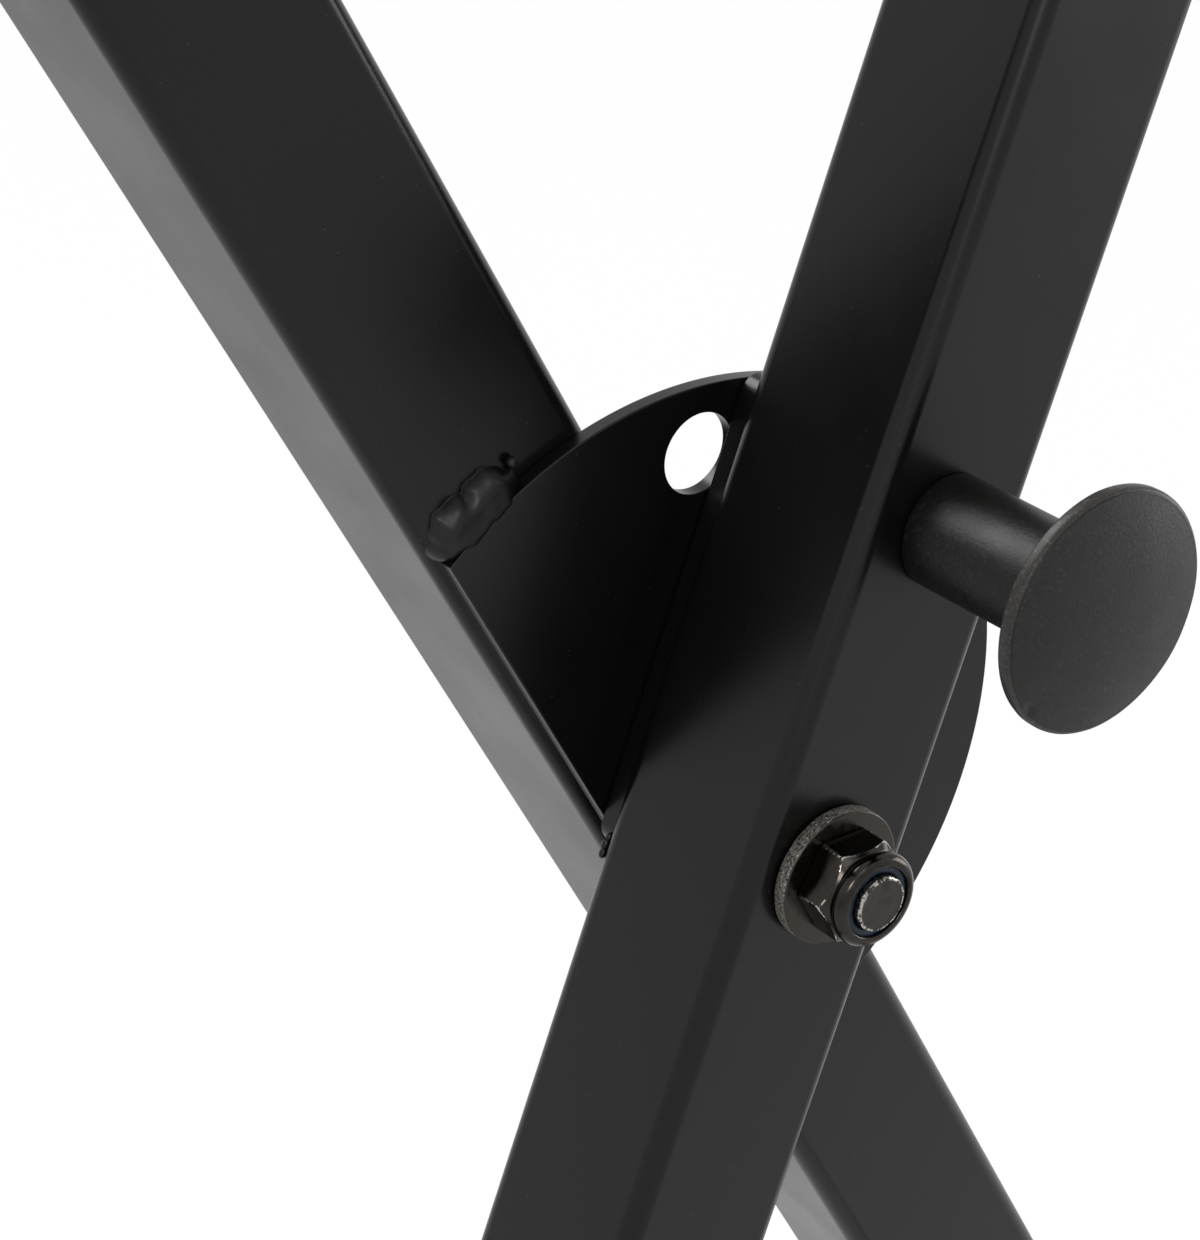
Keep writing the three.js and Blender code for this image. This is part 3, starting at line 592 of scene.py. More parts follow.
# lumps: x, z, two radii, turn in degrees, rise
PUDDLE = [(-8.5, 63.6, 4.9, 4.9, 24, 3.2), (-3.0, 64.1, 4.6, 4.5, -6, 3.2),
          (-5.8, 63.4, 4.2, 3.6, 8, 2.9),
          (-12.2, 62.6, 2.0, 2.4, 20, 2.2), (0.3, 63.9, 2.2, 2.6, 0, 1.9)]


def puddle(name, lumps, mirror, place, seed):
    """A weld puddle as a height field over the leg's face, from its lumps."""
    step, x0, x1, z0, z1 = 0.14, -14.6, 4.2, 57.6, 69.6
    columns, rows = int((x1 - x0) / step) + 1, int((z1 - z0) / step) + 1
    verts = []
    for k in range(rows):
        for i in range(columns):
            x, z = x0 + step * i, z0 + step * k
            total = 0.0
            warp = noise.noise(Vector((x * 0.5, z * 0.5, seed))) * 0.1
            for cx, cz, rx, rz, turn, rise in lumps:
                c, s = math.cos(math.radians(turn)), math.sin(math.radians(turn))
                u = ((x - cx) * c + (z - cz) * s) / rx
                v = ((z - cz) * c - (x - cx) * s) / rz
                q = math.hypot(u, v) + warp
                if q < 1:
                    height = rise * (1 - max(q, 0.0) ** 2.6) ** 0.7
                    total += math.exp(WELD_BLEND * height) - 1
            height = math.log1p(total) / WELD_BLEND
            if height > 0.02:
                height += noise.noise(Vector((x * 0.3, z * 0.3, seed + 5))) * 0.06
            out = min(1.0, max(0.0, (math.hypot(x, z) - WELD_SWEEP) / WELD_SWELL_WIDTH))
            limit = WELD_LEVEL - WELD_SWELL * out * out * (3 - 2 * out)
            ripple = noise.noise(Vector((x * 0.45, z * 0.45, seed + 9)))
            limit += WELD_RIPPLE + WELD_RIPPLE * ripple
            over = (tube_face(x) + 0.12 - height - limit) / WELD_ROUND
            level = limit + WELD_ROUND * math.log1p(math.exp(min(over, 40)))
            verts.append((x, level, z * mirror))
    faces = []
    for k in range(rows - 1):
        for i in range(columns - 1):
            a = k * columns + i
            faces.append((a, a + 1, a + columns + 1, a + columns))
    rim = list(range(columns))
    rim += [k * columns + columns - 1 for k in range(1, rows)]
    rim += [(rows - 1) * columns + i for i in range(columns - 2, -1, -1)]
    rim += [k * columns for k in range(rows - 2, 0, -1)]
    back = len(verts)
    verts += [(verts[i][0], tube_face(verts[i][0]) + 0.4, verts[i][2]) for i in rim]
    for n, i in enumerate(rim):
        m = (n + 1) % len(rim)
        faces.append((i, rim[m], back + m, back + n))
    faces.append(tuple(range(back, back + len(rim))))
    weld = mesh_object(name, verts, faces, place)
    weld.data.shade_smooth()
    return weld


def index_welds():
    """A melted puddle over the plate's rim at each end of its straight side, and one spatter."""
    for name, sign in (("upper", 1), ("lower", -1)):
        bead = puddle(f"index_weld_{name}", PUDDLE, sign, REAR, 3.0 + sign)
        finish_piece(bead, WELD, "rear_leg", [f"index_plate_weld_{name}"])
    drop = ellipsoid_drop("weld_spatter", 2.45, 2.2, 66.1, (0.86, 0.9, 0.86), REAR)
    finish_piece(drop, WELD, "rear_leg", ())


def wear_plate_tack():
    """The small tack at the lower corner of the wear plate, on the leg's side."""
    drops = [ellipsoid_drop("tack", *spot, FRONT, 0.06) for spot in (
        (-13.3, -2.4, -10.3, (0.8, 0.7, 1.1)), (-13.7, -2.7, -11.5, (0.6, 0.6, 0.9)),
        (-12.9, -2.4, -9.3, (0.8, 0.6, 0.9)))]
    tack = join("wear_plate_tack", drops)
    tack.data.shade_smooth()
    finish_piece(tack, WELD, "front_leg", ())


leg_tube("front_leg_tube", TILT, -LEG_MIDDLE, FRONT, [(PIN_HOLE, PIN_AT)], "front_leg")
leg_tube("rear_leg_tube", -TILT, LEG_MIDDLE, REAR, [], "rear_leg")
index_plate()
wear_plate()
index_welds()
wear_plate_tack()


# ---- Pivot bolt, washers and locking nut
def washer(name, y_seat, outward, place):
    """A punched washer from its seat outwards, its outer edge eased."""
    outer, inner, thick, edge = 10.4, BOLT_HOLE, 2.3, 0.28
    rough_rim, wobble_depth = 10.3, 0.05
    top = y_seat + outward * thick
    profile = [(inner, y_seat), (outer - 0.1, y_seat), (outer, y_seat + outward * 0.15)]
    for i in range(5):
        turn = math.pi / 2 * i / 4
        profile.append((outer - edge * (1 - math.cos(turn)),
                        top - outward * edge * (1 - math.sin(turn))))
    profile += [(inner + 0.3, top), (inner, top - outward * 0.3), (inner, y_seat)]
    ring = lathe(name, profile, place, 160)
    for v in ring.data.vertices:  # the sheared outer rim is rough
        radius = math.hypot(v.co.x, v.co.z)
        if radius > rough_rim * MM:
            turn = math.atan2(v.co.x, v.co.z)
            wobble = noise.noise(Vector((turn * 55, v.co.y / MM * 0.6, 1.0))) * wobble_depth
            v.co.x *= 1 - abs(wobble) / outer
            v.co.z *= 1 - abs(wobble) / outer
    finish_piece(shade(ring, 40, False), WASHER, "rear_leg", [name])
    ring.data.materials.append(WASHER_RIM)
    for face in ring.data.polygons:
        if abs(face.normal.y) < 0.5 and math.hypot(face.center.x, face.center.z) > 10 * MM:
            face.material_index = 1


def hex_radius(turn, across, rounding):
    """Distance from the axis to a hexagon's outline, with rounded corners, at an angle."""
    local = (turn + math.pi / 6) % (math.pi / 3) - math.pi / 6  # 0 at a corner
    corner = across / math.sqrt(3)
    flat = (across / 2) / math.cos(math.pi / 6 - abs(local))
    centre = corner - rounding / math.cos(math.pi / 6)
    limit = math.asin(min(1, rounding / 2 / max(centre, 1e-6)))
    if abs(local) > limit * 1.02:
        return flat
    inside = rounding ** 2 - (centre * math.sin(local)) ** 2
    return min(flat, centre * math.cos(local) + math.sqrt(max(inside, 0)))


def hexagon_rings(across, back, front, outward, rounding=0.35, sides=360, slant=30.0, ease=0.16):
    """Rings of a chamfered hexagon from its back to the circle on its front."""
    face_share, back_chamfer = 0.95, 0.15
    slope = math.tan(math.radians(slant))
    face = across / 2 * face_share
    turns = [2 * math.pi * i / sides for i in range(sides)]
    outline = [hex_radius(t, across, rounding) for t in turns]

    def ring(place):
        return [place(t, r) for t, r in zip(turns, outline)]

    def at(t, radius, y):
        return (radius * math.sin(t), y, radius * math.cos(t))

    def shoulder(r):
        return front - outward * max(0.0, r - face) * slope

    rings = [ring(lambda t, r: at(t, r - back_chamfer, back)),
             ring(lambda t, r: at(t, r, back + outward * back_chamfer))]
    for share in (0.25, 0.5, 0.75):
        rings.append(ring(lambda t, r, s=share: at(t, r, back + (shoulder(r) - back) * s)))
    rings.append(ring(lambda t, r: at(t, r, shoulder(r) - outward * ease)))
    rings.append(ring(lambda t, r: at(t, r - ease * 0.18, shoulder(r) - outward * ease * 0.35)))
    rings.append(ring(lambda t, r: at(t, r - ease * 0.7, shoulder(r) + outward * ease * 0.12)))

    def inward(t, r, share):
        start = r - ease * 0.7
        level = shoulder(r) + outward * ease * 0.12
        radius = start + (face - start) * share
        return at(t, radius, level + (front - level) * share)

    for share in (0.35, 0.7, 1.0):
        rings.append(ring(lambda t, r, s=share: inward(t, r, s)))
    return rings, turns, at


def wear_and_glint_edges(obj, slot, across, sides, bevel, limit):
    """Gives `slot`, worn plating with a painted highlight, to a hexagon's corner edges and to the
    bevel rings of its chamfer line.
    """
    for face in obj.data.polygons:
        row = face.index // sides
        x, y, z = face.center / MM
        local = (math.atan2(x, z) + math.pi / 6) % (math.pi / 3) - math.pi / 6
        on_corner = row in range(1, bevel[0]) and abs(local) < math.radians(limit)
        if on_corner or (row in bevel and math.hypot(x, z) > across / 2 * 1.02):
            face.material_index = slot


def locking_nut():
    """Hexagon, step and rolled collar over the nylon ring."""
    rings, turns, at = hexagon_rings(NUT_ACROSS, NUT_BACK, NUT_HEXAGON_END, -1, 0.75, slant=41,
                                      ease=0.2)
    for radius, y in ((6.5, -41.22), (6.42, -41.28), (6.41, -41.36), (6.5, -41.46), (6.72, -41.56),
                      (6.96, -41.72), (7.12, -41.94), (7.21, -42.2)):
        rings.append([at(t, radius, y) for t in turns])
    roll = 1.35
    for i in range(11):
        turn = math.pi / 2 * i / 10
        rings.append([at(t, 7.24 - roll + roll * math.cos(turn), -42.45 - roll * math.sin(turn))
                      for t in turns])
    for radius, y in ((5.62, -43.79), (5.5, -43.72), (5.44, -43.58), (5.46, -43.4), (6.2, -43.25),
                      (6.2, -41.4), (BOLT_HOLE, -41.3), (BOLT_HOLE, NUT_BACK)):
        rings.append([at(t, radius, y) for t in turns])
    nut = loft("pivot_lock_nut_dressed", rings, REAR, around=True)
    finish_piece(shade(nut, 50, False), PLATE, "rear_leg", ["pivot_lock_nut"])
    nut.data.materials.append(WORN_AND_GLINT)
    # corner edges and chamfer line: worn plating and a painted highlight
    wear_and_glint_edges(nut, 1, NUT_ACROSS, 360, (5, 6), 1.9)
    ring = lathe("nylon_ring_dressed", [(4.3, -43.0), (4.36, -43.2), (4.6, -43.36), (5.0, -43.4),
                                        (5.45, -43.3), (5.8, -43.1), (6.0, -42.9), (6.0, -41.7),
                                        (5.1, -41.7), (5.1, -42.8), (4.3, -43.0)], REAR, 96)
    displaced(ring, lambda p: noise.noise(p * 1.3) * 0.05)
    finish_piece(shade(ring, 60, False), NYLON, "rear_leg", ["pivot_nut_nylon_ring"])


def thread(name, radius, depth, pitch, start, end, chamfer, place, sides):
    """A threaded rod along Y from `start` to a chamfered `end`."""
    step = pitch / 10 * (1 if end > start else -1)
    count = int(abs(end - start) / abs(step))
    rings = []
    for k in range(count + 1):
        y = start + (end - start) * k / count
        cap = radius - max(0.0, chamfer - abs(end - y))
        ring = []
        for i in range(sides):
            turn = 2 * math.pi * i / sides
            phase = (y / pitch - i / sides) % 1.0
            groove = depth * max(0.0, 1 - abs(phase - 0.5) / 0.36)
            r = min(radius - groove, cap)
            ring.append((r * math.cos(turn), y, r * math.sin(turn)))
        rings.append(ring)
    flat, proud = radius - chamfer, end + 0.05 * np.sign(end - start)
    rings.append([(flat * 0.97 * math.cos(2 * math.pi * i / sides), proud,
                   flat * 0.97 * math.sin(2 * math.pi * i / sides)) for i in range(sides)])
    return loft(name, rings, place)


def bolt_point():
    """The bolt's cropped end: a ragged last thread and a flat face."""
    sides, rings = 128, []
    for radius, y, ragged in ((4.7, -42.6, 0.0), (4.28, -42.9, 0.02), (4.24, -43.4, 0.04),
                              (4.3, -43.8, 0.07), (4.26, -44.1, 0.1), (4.14, -44.32, 0.12),
                              (3.98, -44.42, 0.1), (3.8, -44.4, 0.05), (3.62, -44.36, 0.0),
                              (3.0, -44.37, 0.0), (1.8, -44.36, 0.0), (0.7, -44.35, 0.0)):
        ring = []
        for i in range(sides):
            turn = 2 * math.pi * i / sides
            spot = Vector((math.cos(turn) * 3.4, math.sin(turn) * 3.4, y * 1.6))
            r = radius + noise.noise(spot) * ragged + noise.noise(spot * 2.3) * ragged * 0.6
            ring.append((r * math.cos(turn), y + noise.noise(spot * 1.4) * ragged * 0.5,
                         r * math.sin(turn)))
        rings.append(ring)
    return loft("point", rings, REAR)


def pivot_bolt():
    """Shank, thread, cropped point and hexagon head in one piece."""
    shank = rod(4.95, -34, 36, REAR, sides=72)
    end = thread("thread", 4.95, 0.62, 1.5, -33.8, -42.85, 0.2, REAR, 96)
    point = bolt_point()
    rings, turns, at = hexagon_rings(NUT_ACROSS, HEAD_BACK, HEAD_FRONT, 1)
    for radius, y in ((6.3, 41.72), (4.0, 41.68), (1.6, 41.6)):
        rings.append([at(t, radius, y) for t in turns])
    head = loft("head", rings, REAR)
    bolt = join("pivot_bolt_dressed", [shank, end, point, head])
    finish_piece(shade(bolt, 40, False), PLATE, "rear_leg", ["pivot_bolt"])
    bolt.data.materials.append(BOLT_END)
    bolt.data.materials.append(WORN_AND_GLINT)
    # the point's ragged rim gets worn plating and a painted highlight; the face inside it gets the
    # bolt's end finish
    for face in bolt.data.polygons:
        if face.center.y < -43.0 * MM:
            radius = math.hypot(face.center.x, face.center.z) / MM
            face.material_index = 2 if 3.75 < radius else 1


washer("pivot_washer_front", -33.3, -1, REAR)
washer("pivot_washer_back", 33.0, 1, REAR)
locking_nut()
pivot_bolt()


# ---- Lock pin, clip, spring and knob
def pull_knob():
    """A turned mushroom knob: straight barrel, thin head with a slightly domed front."""
    head, rim_front, rim_back, dome, edge = 17.7, -64.3, -62.0, 1.9, 0.22
    profile = []
    for i in range(33):
        share = i / 32
        profile.append(((head - 0.5 - edge) * share, rim_front - dome * (1 - share ** 2.0)))
    for i in range(1, 7):
        turn = math.pi / 2 * i / 6
        profile.append((head - 0.5 - edge + edge * math.sin(turn),
                        rim_front + edge * (1 - math.cos(turn))))
    profile += [(head - 0.22, -63.95), (head - 0.06, -63.7), (head, -63.4), (head, -63.0)]
    for i in range(1, 7):
        turn = math.pi / 2 * i / 6
        profile.append((head - 0.5 + 0.5 * math.cos(turn), rim_back - 0.6 + 0.6 * math.sin(turn)))
    profile += [(15.5, rim_back + 0.5), (13.4, rim_back + 1.1), (11.6, rim_back + 1.75)]
    for i in range(1, 9):
        turn = math.pi / 2 * i / 8
        profile.append((11.2 - 2.8 * math.sin(turn), rim_back + 2.0 + 2.8 * (1 - math.cos(turn))))
    profile += [(8.4, -54), (8.4, -50), (8.4, -46), (8.4, -42), (8.4, -38), (8.4, -33.7),
                (8.3, -33.25), (8.0, -33.05), (4.3, -33.05), (4.3, -51.3), (0, -51.3)]
    knob = lathe("pull_knob_dressed", profile, LOCK, 160)

    def uneven(p):
        """A moulding is never quite true; the rim has one small dent at its lower left."""
        dent = math.exp(-((p.x + 8.6) ** 2 + (p.z + 14.2) ** 2) / 0.5) if p.y < -60 else 0.0
        return noise.noise(p * 0.16) * 0.05 - 0.3 * dent

    displaced(knob, uneven)
    finish_piece(shade(knob, 50, False), KNOB, "lock_pin", ["pull_knob"])
    knob.data.materials.append(KNOB_PAINTED_LIGHT)
    for face in knob.data.polygons:  # the moulding's edge band gets a paler copy of the plastic, as painted light
        x, y, z = face.center / MM
        if math.hypot(x, z) > head - 0.49 and y > rim_front + edge * 0.6:
            face.material_index = 1


def lock_pin():
    profile = [(0, -51), (3.7, -51), (4, -50.7), (4, -31.5), (5.5, -31.5), (5.8, -31.2),
               (5.8, -6.15), (4.8, -6.15), (4.8, -4.65), (5.8, -4.65), (5.8, -1.2), (5.55, -0.75),
               (4.6, 0.1), (4.2, 0.2), (0, 0.2)]
    pin = lathe("lock_pin_dressed", profile, LOCK, 72)
    finish_piece(shade(pin, 30, False), STEEL, "lock_pin", ["lock_pin"])


def lock_spring():
    turns, radius, wire, y0, y1 = 7, 8.0, 0.7, -30.5, -7.0
    rings = []
    for k in range(turns * 36 + 1):
        t = 2 * math.pi * k / 36
        y = y0 + (y1 - y0) * k / (turns * 36)
        out = Vector((math.cos(t), 0, math.sin(t)))
        centre = out * radius + Vector((0, y, 0))
        rings.append([tuple(centre + out * wire * math.cos(a) + Vector((0, wire * math.sin(a), 0)))
                      for a in (2 * math.pi * i / 12 for i in range(12))])
    coil = loft("lock_spring_dressed", rings, LOCK)
    finish_piece(shade(coil, 60, False), SPRING, "front_leg", ["lock_spring"])
    coil.modifiers.clear()
    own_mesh(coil)  # a mesh of its own; the pin's 9 mm of travel would press the spring together, which nothing here does


pull_knob()
lock_pin()
lock_spring()


# ---- Bars, brackets, bolts, pads and shoes
def bracket(name, place, offset, body):
    """A pressed U channel with rounded lips under the bar."""
    outline = [(18.3, -2.3), (18.3, -14.3)]
    outline += [(14.3 + 4 * math.cos(t), -14.3 + 4 * math.sin(t))
                for t in (math.radians(-90 * i / 6) for i in range(1, 7))]
    outline += [(-14.3 - 4 * math.sin(t), -14.3 - 4 * math.cos(t))
                for t in (math.radians(90 * i / 6) for i in range(0, 7))]
    outline += [(-18.3, -2.3), (-15.3, -2.3), (-15.3, -14.3)]
    outline += [(-14.3 - math.cos(t), -14.3 - math.sin(t))
                for t in (math.radians(90 * i / 4) for i in range(1, 5))]
    outline += [(14.3 + math.sin(t), -14.3 - math.cos(t))
                for t in (math.radians(90 * i / 4) for i in range(0, 5))]
    outline += [(15.3, -2.3)]
    rings = [[(x, y + offset, z) for x, z in outline] for y in (-BRACKET_HALF, BRACKET_HALF)]
    channel = loft(name, rings, place)
    channel = cut(channel, [post(BAR_BOLT_HOLE, -25, 0, place, 0, offset + s * BAR_BOLT_AT)
                            for s in (-1, 1)])
    soften(channel, 0.5, 3, 40)
    finish_piece(shade(channel), COAT, body, [name])


def bar(name, length, place, offset, body):
    """A square bar with a round and a square hole for each of its two bolts."""
    turned = place @ Matrix.Rotation(math.radians(90), 4, "X")
    tube = square_tube(name, TUBE, TUBE_WALL, TUBE_CORNER, length, 0, 0, turned)
    cutters = []
    for side in (-1, 1):
        y = offset + side * BAR_BOLT_AT
        cutters.append(post(BAR_BOLT_HOLE, -25, 25, place, 0, y))
        neck = [(x, y + v, z) for z in (13.2, 20) for x, v in rounded_rect(8.6, 8.6, 0.4, 2)]
        cutters.append(loft("neck", [neck[:12], neck[12:]], place))
    finish_piece(shade(cut(tube, cutters)), COAT, body, [name])


def carriage_bolt(name, place, y, body):
    upright = place @ Matrix.Translation((0, y * MM, 0)) @ Matrix.Rotation(math.radians(90), 4, "X")
    sphere = (9.5 ** 2 + 4.4 ** 2) / (2 * 4.4)
    profile = [(0, -20), (4, -20), (4, 15.3), (9.1, 15.3), (9.42, 15.42), (9.5, 15.7)]
    for i in range(1, 15):
        r = 9.45 * math.cos(math.pi / 2 * i / 14)
        profile.append((max(r, 0), 19.7 - sphere + math.sqrt(sphere ** 2 - r ** 2)))
    profile[-1] = (0, 19.7)
    head = lathe("head", profile, upright, 72)
    neck = [(x, z, v) for z in (13.4, 15.4) for x, v in rounded_rect(8, 8, 0.5, 2)]
    neck = loft("neck", [neck[:12], neck[12:]], upright)
    end = thread("end", 3.98, 0.5, 1.25, -19, -28.15, 0.8, upright, 60)
    bolt = join(name + "_dressed", [head, neck, end])
    finish_piece(shade(bolt, 35, False), PLATE, body, [name])


def flange_nut(name, place, y, body):
    upright = place @ Matrix.Translation((0, y * MM, 0)) @ Matrix.Rotation(math.radians(90), 4, "X")
    rings, turns, at = hexagon_rings(13, -20.2, -26.6, -1, 0.3, 180)
    for radius, height in ((4.9, -26.6), (4.3, -26.1), (4.3, -19)):
        rings.append([at(t, radius, height) for t in turns])
    hexagon = loft("hexagon", rings, upright, around=True)
    flange = lathe("flange", [(4.3, -18.6), (8.4, -18.6), (8.7, -18.75), (8.75, -19.1),
                              (8.7, -19.7), (8.4, -20.0), (7.4, -20.5), (6.7, -21.2), (6.3, -21.4),
                              (4.3, -21.4), (4.3, -18.6)], upright, 96)
    nut = join(name + "_dressed", [hexagon, flange])
    finish_piece(shade(nut, 40, False), PLATE, body, [name])


def moulded_cap(name, length, end, side, face, corner, grooves, place, y, turn, body):
    """A rubber cap over the end of a bar, closed at -Y, grooved across its working face."""
    count, width, depth = grooves
    w, h, rise = CAP_BORE + 2 * side, CAP_BORE + side + face, (face - side) / 2
    top = CAP_BORE_HALF + face
    pitch = (length - end) / (count + 1)
    centres = [end / 2 + pitch * (i + 1) for i in range(count)]
    soft, lip = 2.6, 1.0
    stations = [(soft * (1 - math.cos(a)), soft * (1 - math.sin(a)))
                for a in (math.pi / 2 * i / 7 for i in range(8))]
    marks = []
    for centre in centres:
        marks += [centre + s * (width / 2 + e) for s in (-1, 1)
                  for e in (-0.35, -0.2, -0.05, 0.1, 0.25, 0.4, 0.55)] + [centre]
    stations += [(m, 0.0) for m in sorted(marks)]
    stations += [(length - lip + lip * math.sin(a), lip * (1 - math.cos(a)))
                 for a in (math.pi / 2 * i / 4 for i in range(5))]

    def groove(at):
        reach = min(abs(at - c) for c in centres) - width / 2
        share = min(1.0, max(0.0, (0.4 - reach) / 0.6))
        return depth * share * share * (3 - 2 * share)

    rings = []
    for at, inset in stations:
        loop = rounded_rect(w - 2 * inset, h - 2 * inset, max(corner - inset, 0.6), 8, 0, rise)
        limit = top - groove(at)
        rings.append([(x, at, min(z, limit)) for x, z in loop])
    for at in (length, end):
        rings.append([(x, at, z) for x, z in rounded_rect(CAP_BORE, CAP_BORE, TUBE_CORNER, 8)])
    stand = place @ Matrix.Translation((0, y * MM, 0)) @ Matrix.Rotation(turn, 4, "Z")
    cap = loft(name + "_dressed", rings, stand)
    finish_piece(shade(cap, 50, False), RUBBER, body, [name])


def end_weld(name, place, y, turn, body, seed):
    """A rippled fillet between the bracket and one face of the leg."""
    stand = place @ Matrix.Translation((0, y * MM, -18.6 * MM)) @ Matrix.Rotation(turn, 4, "Z")
    rings = []
    for k in range(133):
        x = -13.2 + 26.4 * k / 132
        taper = min(1.0, math.sqrt(max(0.02, 1 - (abs(x) / 13.25) ** 14)))
        scallop = abs(math.sin(math.pi * (x + noise.noise(Vector((x * 0.2, seed, 0))) * 1.5) / 1.9))
        swell = 3.55 + 0.22 * scallop + 0.3 * noise.noise(Vector((x * 0.25, seed, 3)))
        ring = [(x, 0.25, 0.28), (x, -swell * taper, 0.28)]
        for i in range(9):
            lift = math.pi / 2 * i / 8
            r = swell * taper * (1 + 0.03 * noise.noise(Vector((x * 1.2, lift * 2, seed))))
            ring.append((x, -r * math.cos(lift) ** 0.9, -r * math.sin(lift) ** 0.9))
        ring.append((x, 0.25, -swell * taper))
        rings.append(ring)
    bead = loft(name + "_dressed", rings, stand)
    finish_piece(shade(bead, 60, False), WELD, body, [name])


def seed_of(text):
    """A number of its own for each piece's name, the same in each run."""
    return sum(ord(c) * (i + 1) for i, c in enumerate(text)) % 97 * 0.37


def bar_assembly(leg, end, place, length, offset, cap_name, cap, cap_end):
    """A bar with its bracket, bolts, nuts, end caps and welds."""
    prefix = f"{leg}_{end}"
    bracket(f"{prefix}_bracket", place, offset, leg)
    bar(f"{prefix}_bar", length, place, offset, leg)
    reach = length / 2 + cap_end + 0.3
    for side, where, turn in ((-1, "front", 0.0), (1, "back", math.pi)):
        bolt_y = offset + side * BAR_BOLT_AT
        carriage_bolt(f"{prefix}_bolt_{where}", place, bolt_y, leg)
        flange_nut(f"{prefix}_nut_{where}", place, bolt_y, leg)
        moulded_cap(f"{prefix}_{cap_name}_{where}", *cap, place, side * reach, turn, leg)
        end_weld(f"{prefix}_weld_{where}", place, offset + side * WELD_AT, turn, leg,
                 seed_of(prefix + where))


# rubber caps: length, end, sides, working face, corner, then count, width and depth of grooves
PAD = (100, 5, 4, 6, 7, (4, 2.2, 1.4))
SHOE = (58, 6, 4, 7, 8, (3, 2.4, 1.6))
for leg, side, offset in (("rear_leg", -1, LEG_MIDDLE), ("front_leg", 1, -LEG_MIDDLE)):
    arm = Matrix.Translation((side * HALF_SPREAD, 0, ARM_HEIGHT))
    foot = Matrix.Translation((-side * HALF_SPREAD, 0, FOOT_HEIGHT)) @ FLIP
    bar_assembly(leg, "arm", arm, ARM_BAR_LENGTH, offset, "pad", PAD, 5)
    bar_assembly(leg, "foot", foot, FOOT_BAR_LENGTH, offset, "shoe", SHOE, 6)


# ---- CAD nodes that show as they are
for node, material in (("rear_pivot_sleeve", STEEL), ("front_pivot_sleeve", STEEL),
                       ("lock_pin_clip", SPRING)):
    obj = frame["nodes"][node]
    obj.data.materials.clear()
    obj.data.materials.append(material)
    shade(obj, 35, False)


# ---- Floor, light and camera
FLOOR_GREY = 0.86
FLOOR_NEAR, FLOOR_FAR = 0.33, 0.62  # metres from the middle: the shadow's band ends here
SHARE_NEAR, SHARE_FAR = 0.82, 0.97  # share of plain white there; the rest shows the shadow
WORLD_LEVEL = 0.5  # with the lamps, a colour renders about as it is written
PHOTO_HEIGHT, FOCAL_LENGTH, SENSOR = 1240, 3498.206, 36  # pixels, pixels, millimetres
CAMERA_TURN, CAMERA_DOWN, CAMERA_ROLL = 36.3838, 30.2745, -2.8935  # degrees
CAMERA_FROM_PIVOT = (-0.26786, -0.34499, 0.28234)


def seen_directly(nodes, links):
    """1 for camera, glossy and transmission rays, so that mirrors show the same background."""
    path = nodes.new("ShaderNodeLightPath")
    value = path.outputs["Is Camera Ray"]
    for ray in ("Is Glossy Ray", "Is Transmission Ray"):
        node = nodes.new("ShaderNodeMath")
        node.operation = "MAXIMUM"
        links.new(value, node.inputs[0])
        links.new(path.outputs[ray], node.inputs[1])
        value = node.outputs[0]
    return value


def blend_shaders(nodes, links, share, first, second, out):
    """`share` of the second shader over the first."""
    mix = nodes.new("ShaderNodeMixShader")
    links.new(share, mix.inputs["Fac"])
    links.new(first.outputs[0], mix.inputs[1])
    links.new(second.outputs[0], mix.inputs[2])
    links.new(mix.outputs[0], out.inputs["Surface"])


def emission_floor():
    """A white floor that keeps a light shadow round the feet."""
    material = bpy.data.materials.new("floor")
    material.use_nodes = True
    nodes, links = material.node_tree.nodes, material.node_tree.links
    nodes.clear()
    out = nodes.new("ShaderNodeOutputMaterial")
    diffuse = nodes.new("ShaderNodeBsdfDiffuse")
    diffuse.inputs["Color"].default_value = (FLOOR_GREY, FLOOR_GREY, FLOOR_GREY, 1)
    white = nodes.new("ShaderNodeEmission")
    white.inputs["Strength"].default_value = 1.0
    reach = nodes.new("ShaderNodeVectorMath")
    reach.operation = "LENGTH"
    links.new(nodes.new("ShaderNodeTexCoord").outputs["Object"], reach.inputs[0])
    share = nodes.new("ShaderNodeMapRange")
    share.interpolation_type = "SMOOTHSTEP"
    for key, number in (("From Min", FLOOR_NEAR), ("From Max", FLOOR_FAR),
                        ("To Min", SHARE_NEAR), ("To Max", SHARE_FAR)):
        share.inputs[key].default_value = number
    links.new(reach.outputs["Value"], share.inputs["Value"])
    weight = nodes.new("ShaderNodeMath")
    weight.operation = "MULTIPLY"
    links.new(seen_directly(nodes, links), weight.inputs[0])
    links.new(share.outputs["Result"], weight.inputs[1])
    blend_shaders(nodes, links, weight.outputs[0], diffuse, white, out)
    return material


def stage_floor():
    bpy.ops.mesh.primitive_plane_add(size=14, location=(0, 0, -0.0005))
    floor = bpy.context.object
    floor.name = "floor"
    floor.data.materials.append(emission_floor())


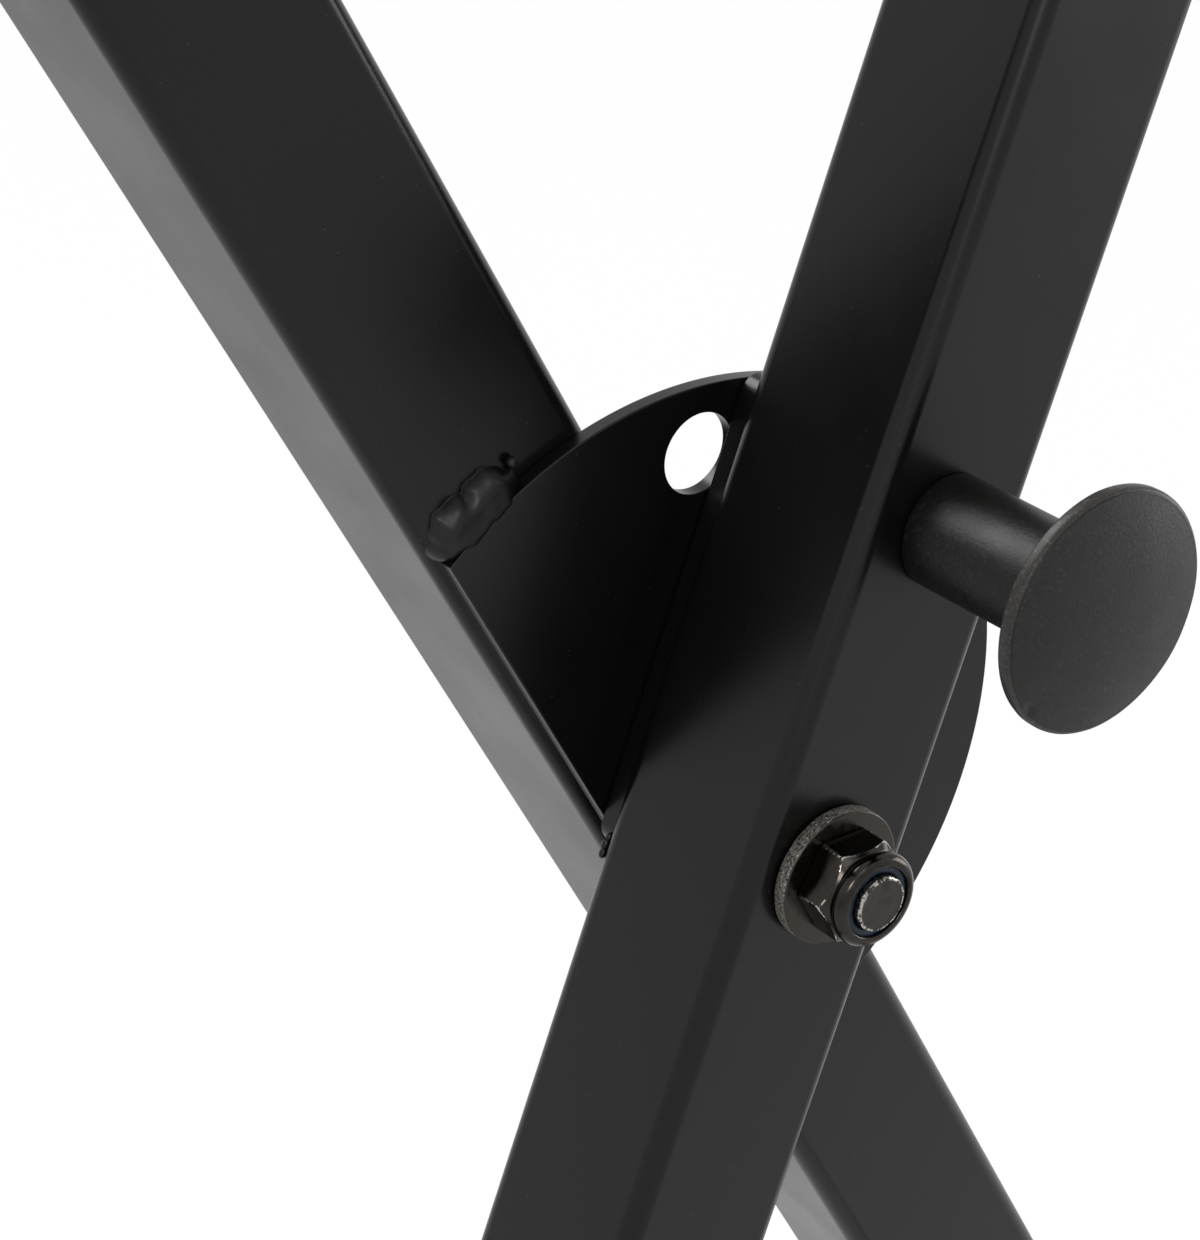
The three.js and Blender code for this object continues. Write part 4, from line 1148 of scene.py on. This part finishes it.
def world():
    """Soft even light, white where the camera or a mirror looks past the floor."""
    w = bpy.data.worlds.new("world")
    bpy.context.scene.world = w
    w.use_nodes = True
    nodes, links = w.node_tree.nodes, w.node_tree.links
    nodes.clear()
    out = nodes.new("ShaderNodeOutputWorld")
    dim = nodes.new("ShaderNodeBackground")
    dim.inputs["Color"].default_value = (WORLD_LEVEL, WORLD_LEVEL, WORLD_LEVEL, 1)
    white = nodes.new("ShaderNodeBackground")
    white.inputs["Color"].default_value = (1, 1, 1, 1)
    blend_shaders(nodes, links, seen_directly(nodes, links), dim, white, out)


def area(name, direction, distance, size, power):
    """A square lamp that faces the pivot from `direction`."""
    light = bpy.data.lights.new(name, "AREA")
    light.shape = "RECTANGLE"
    light.size = size
    light.size_y = size
    light.energy = power
    lamp = linked(name, light)
    away = Vector(direction).normalized()
    lamp.location = PIVOT + away * distance
    lamp.rotation_mode = "QUATERNION"
    lamp.rotation_quaternion = away.to_track_quat("Z", "Y")
    return lamp


def camera():
    """The photograph's camera, solved from the edges of the two tubes."""
    turn, down, roll = (math.radians(a) for a in (CAMERA_TURN, CAMERA_DOWN, CAMERA_ROLL))
    ahead = Vector((math.sin(turn) * math.cos(down), math.cos(turn) * math.cos(down),
                    -math.sin(down)))
    right = Vector((math.cos(turn), -math.sin(turn), 0))
    up = right.cross(ahead)
    across = right * math.cos(roll) + up * math.sin(roll)
    upward = up * math.cos(roll) - right * math.sin(roll)
    data = bpy.data.cameras.new("camera")
    data.lens = SENSOR * FOCAL_LENGTH / PHOTO_HEIGHT
    data.sensor_width = SENSOR
    data.clip_start = 0.02
    data.clip_end = 60
    cam = linked("camera", data)
    place = Matrix((across, upward, -ahead)).transposed().to_4x4()
    place.translation = Vector(CAMERA_FROM_PIVOT) + Vector((0, 0, PIVOT.z))
    cam.matrix_world = place
    bpy.context.scene.camera = cam


stage_floor()
world()
area("above_behind", (-0.2, 0.66, 0.85), 1.7, 1.0, 28)
area("key", (-0.49, -0.72, 0.5), 1.8, 0.5, 8)
area("front", (-0.03, -0.74, 0.67), 1.9, 0.6, 2)
area("right", (0.93, -0.36, -0.08), 1.6, 0.7, 9)
camera()

bpy.context.scene.view_settings.view_transform = "Standard"
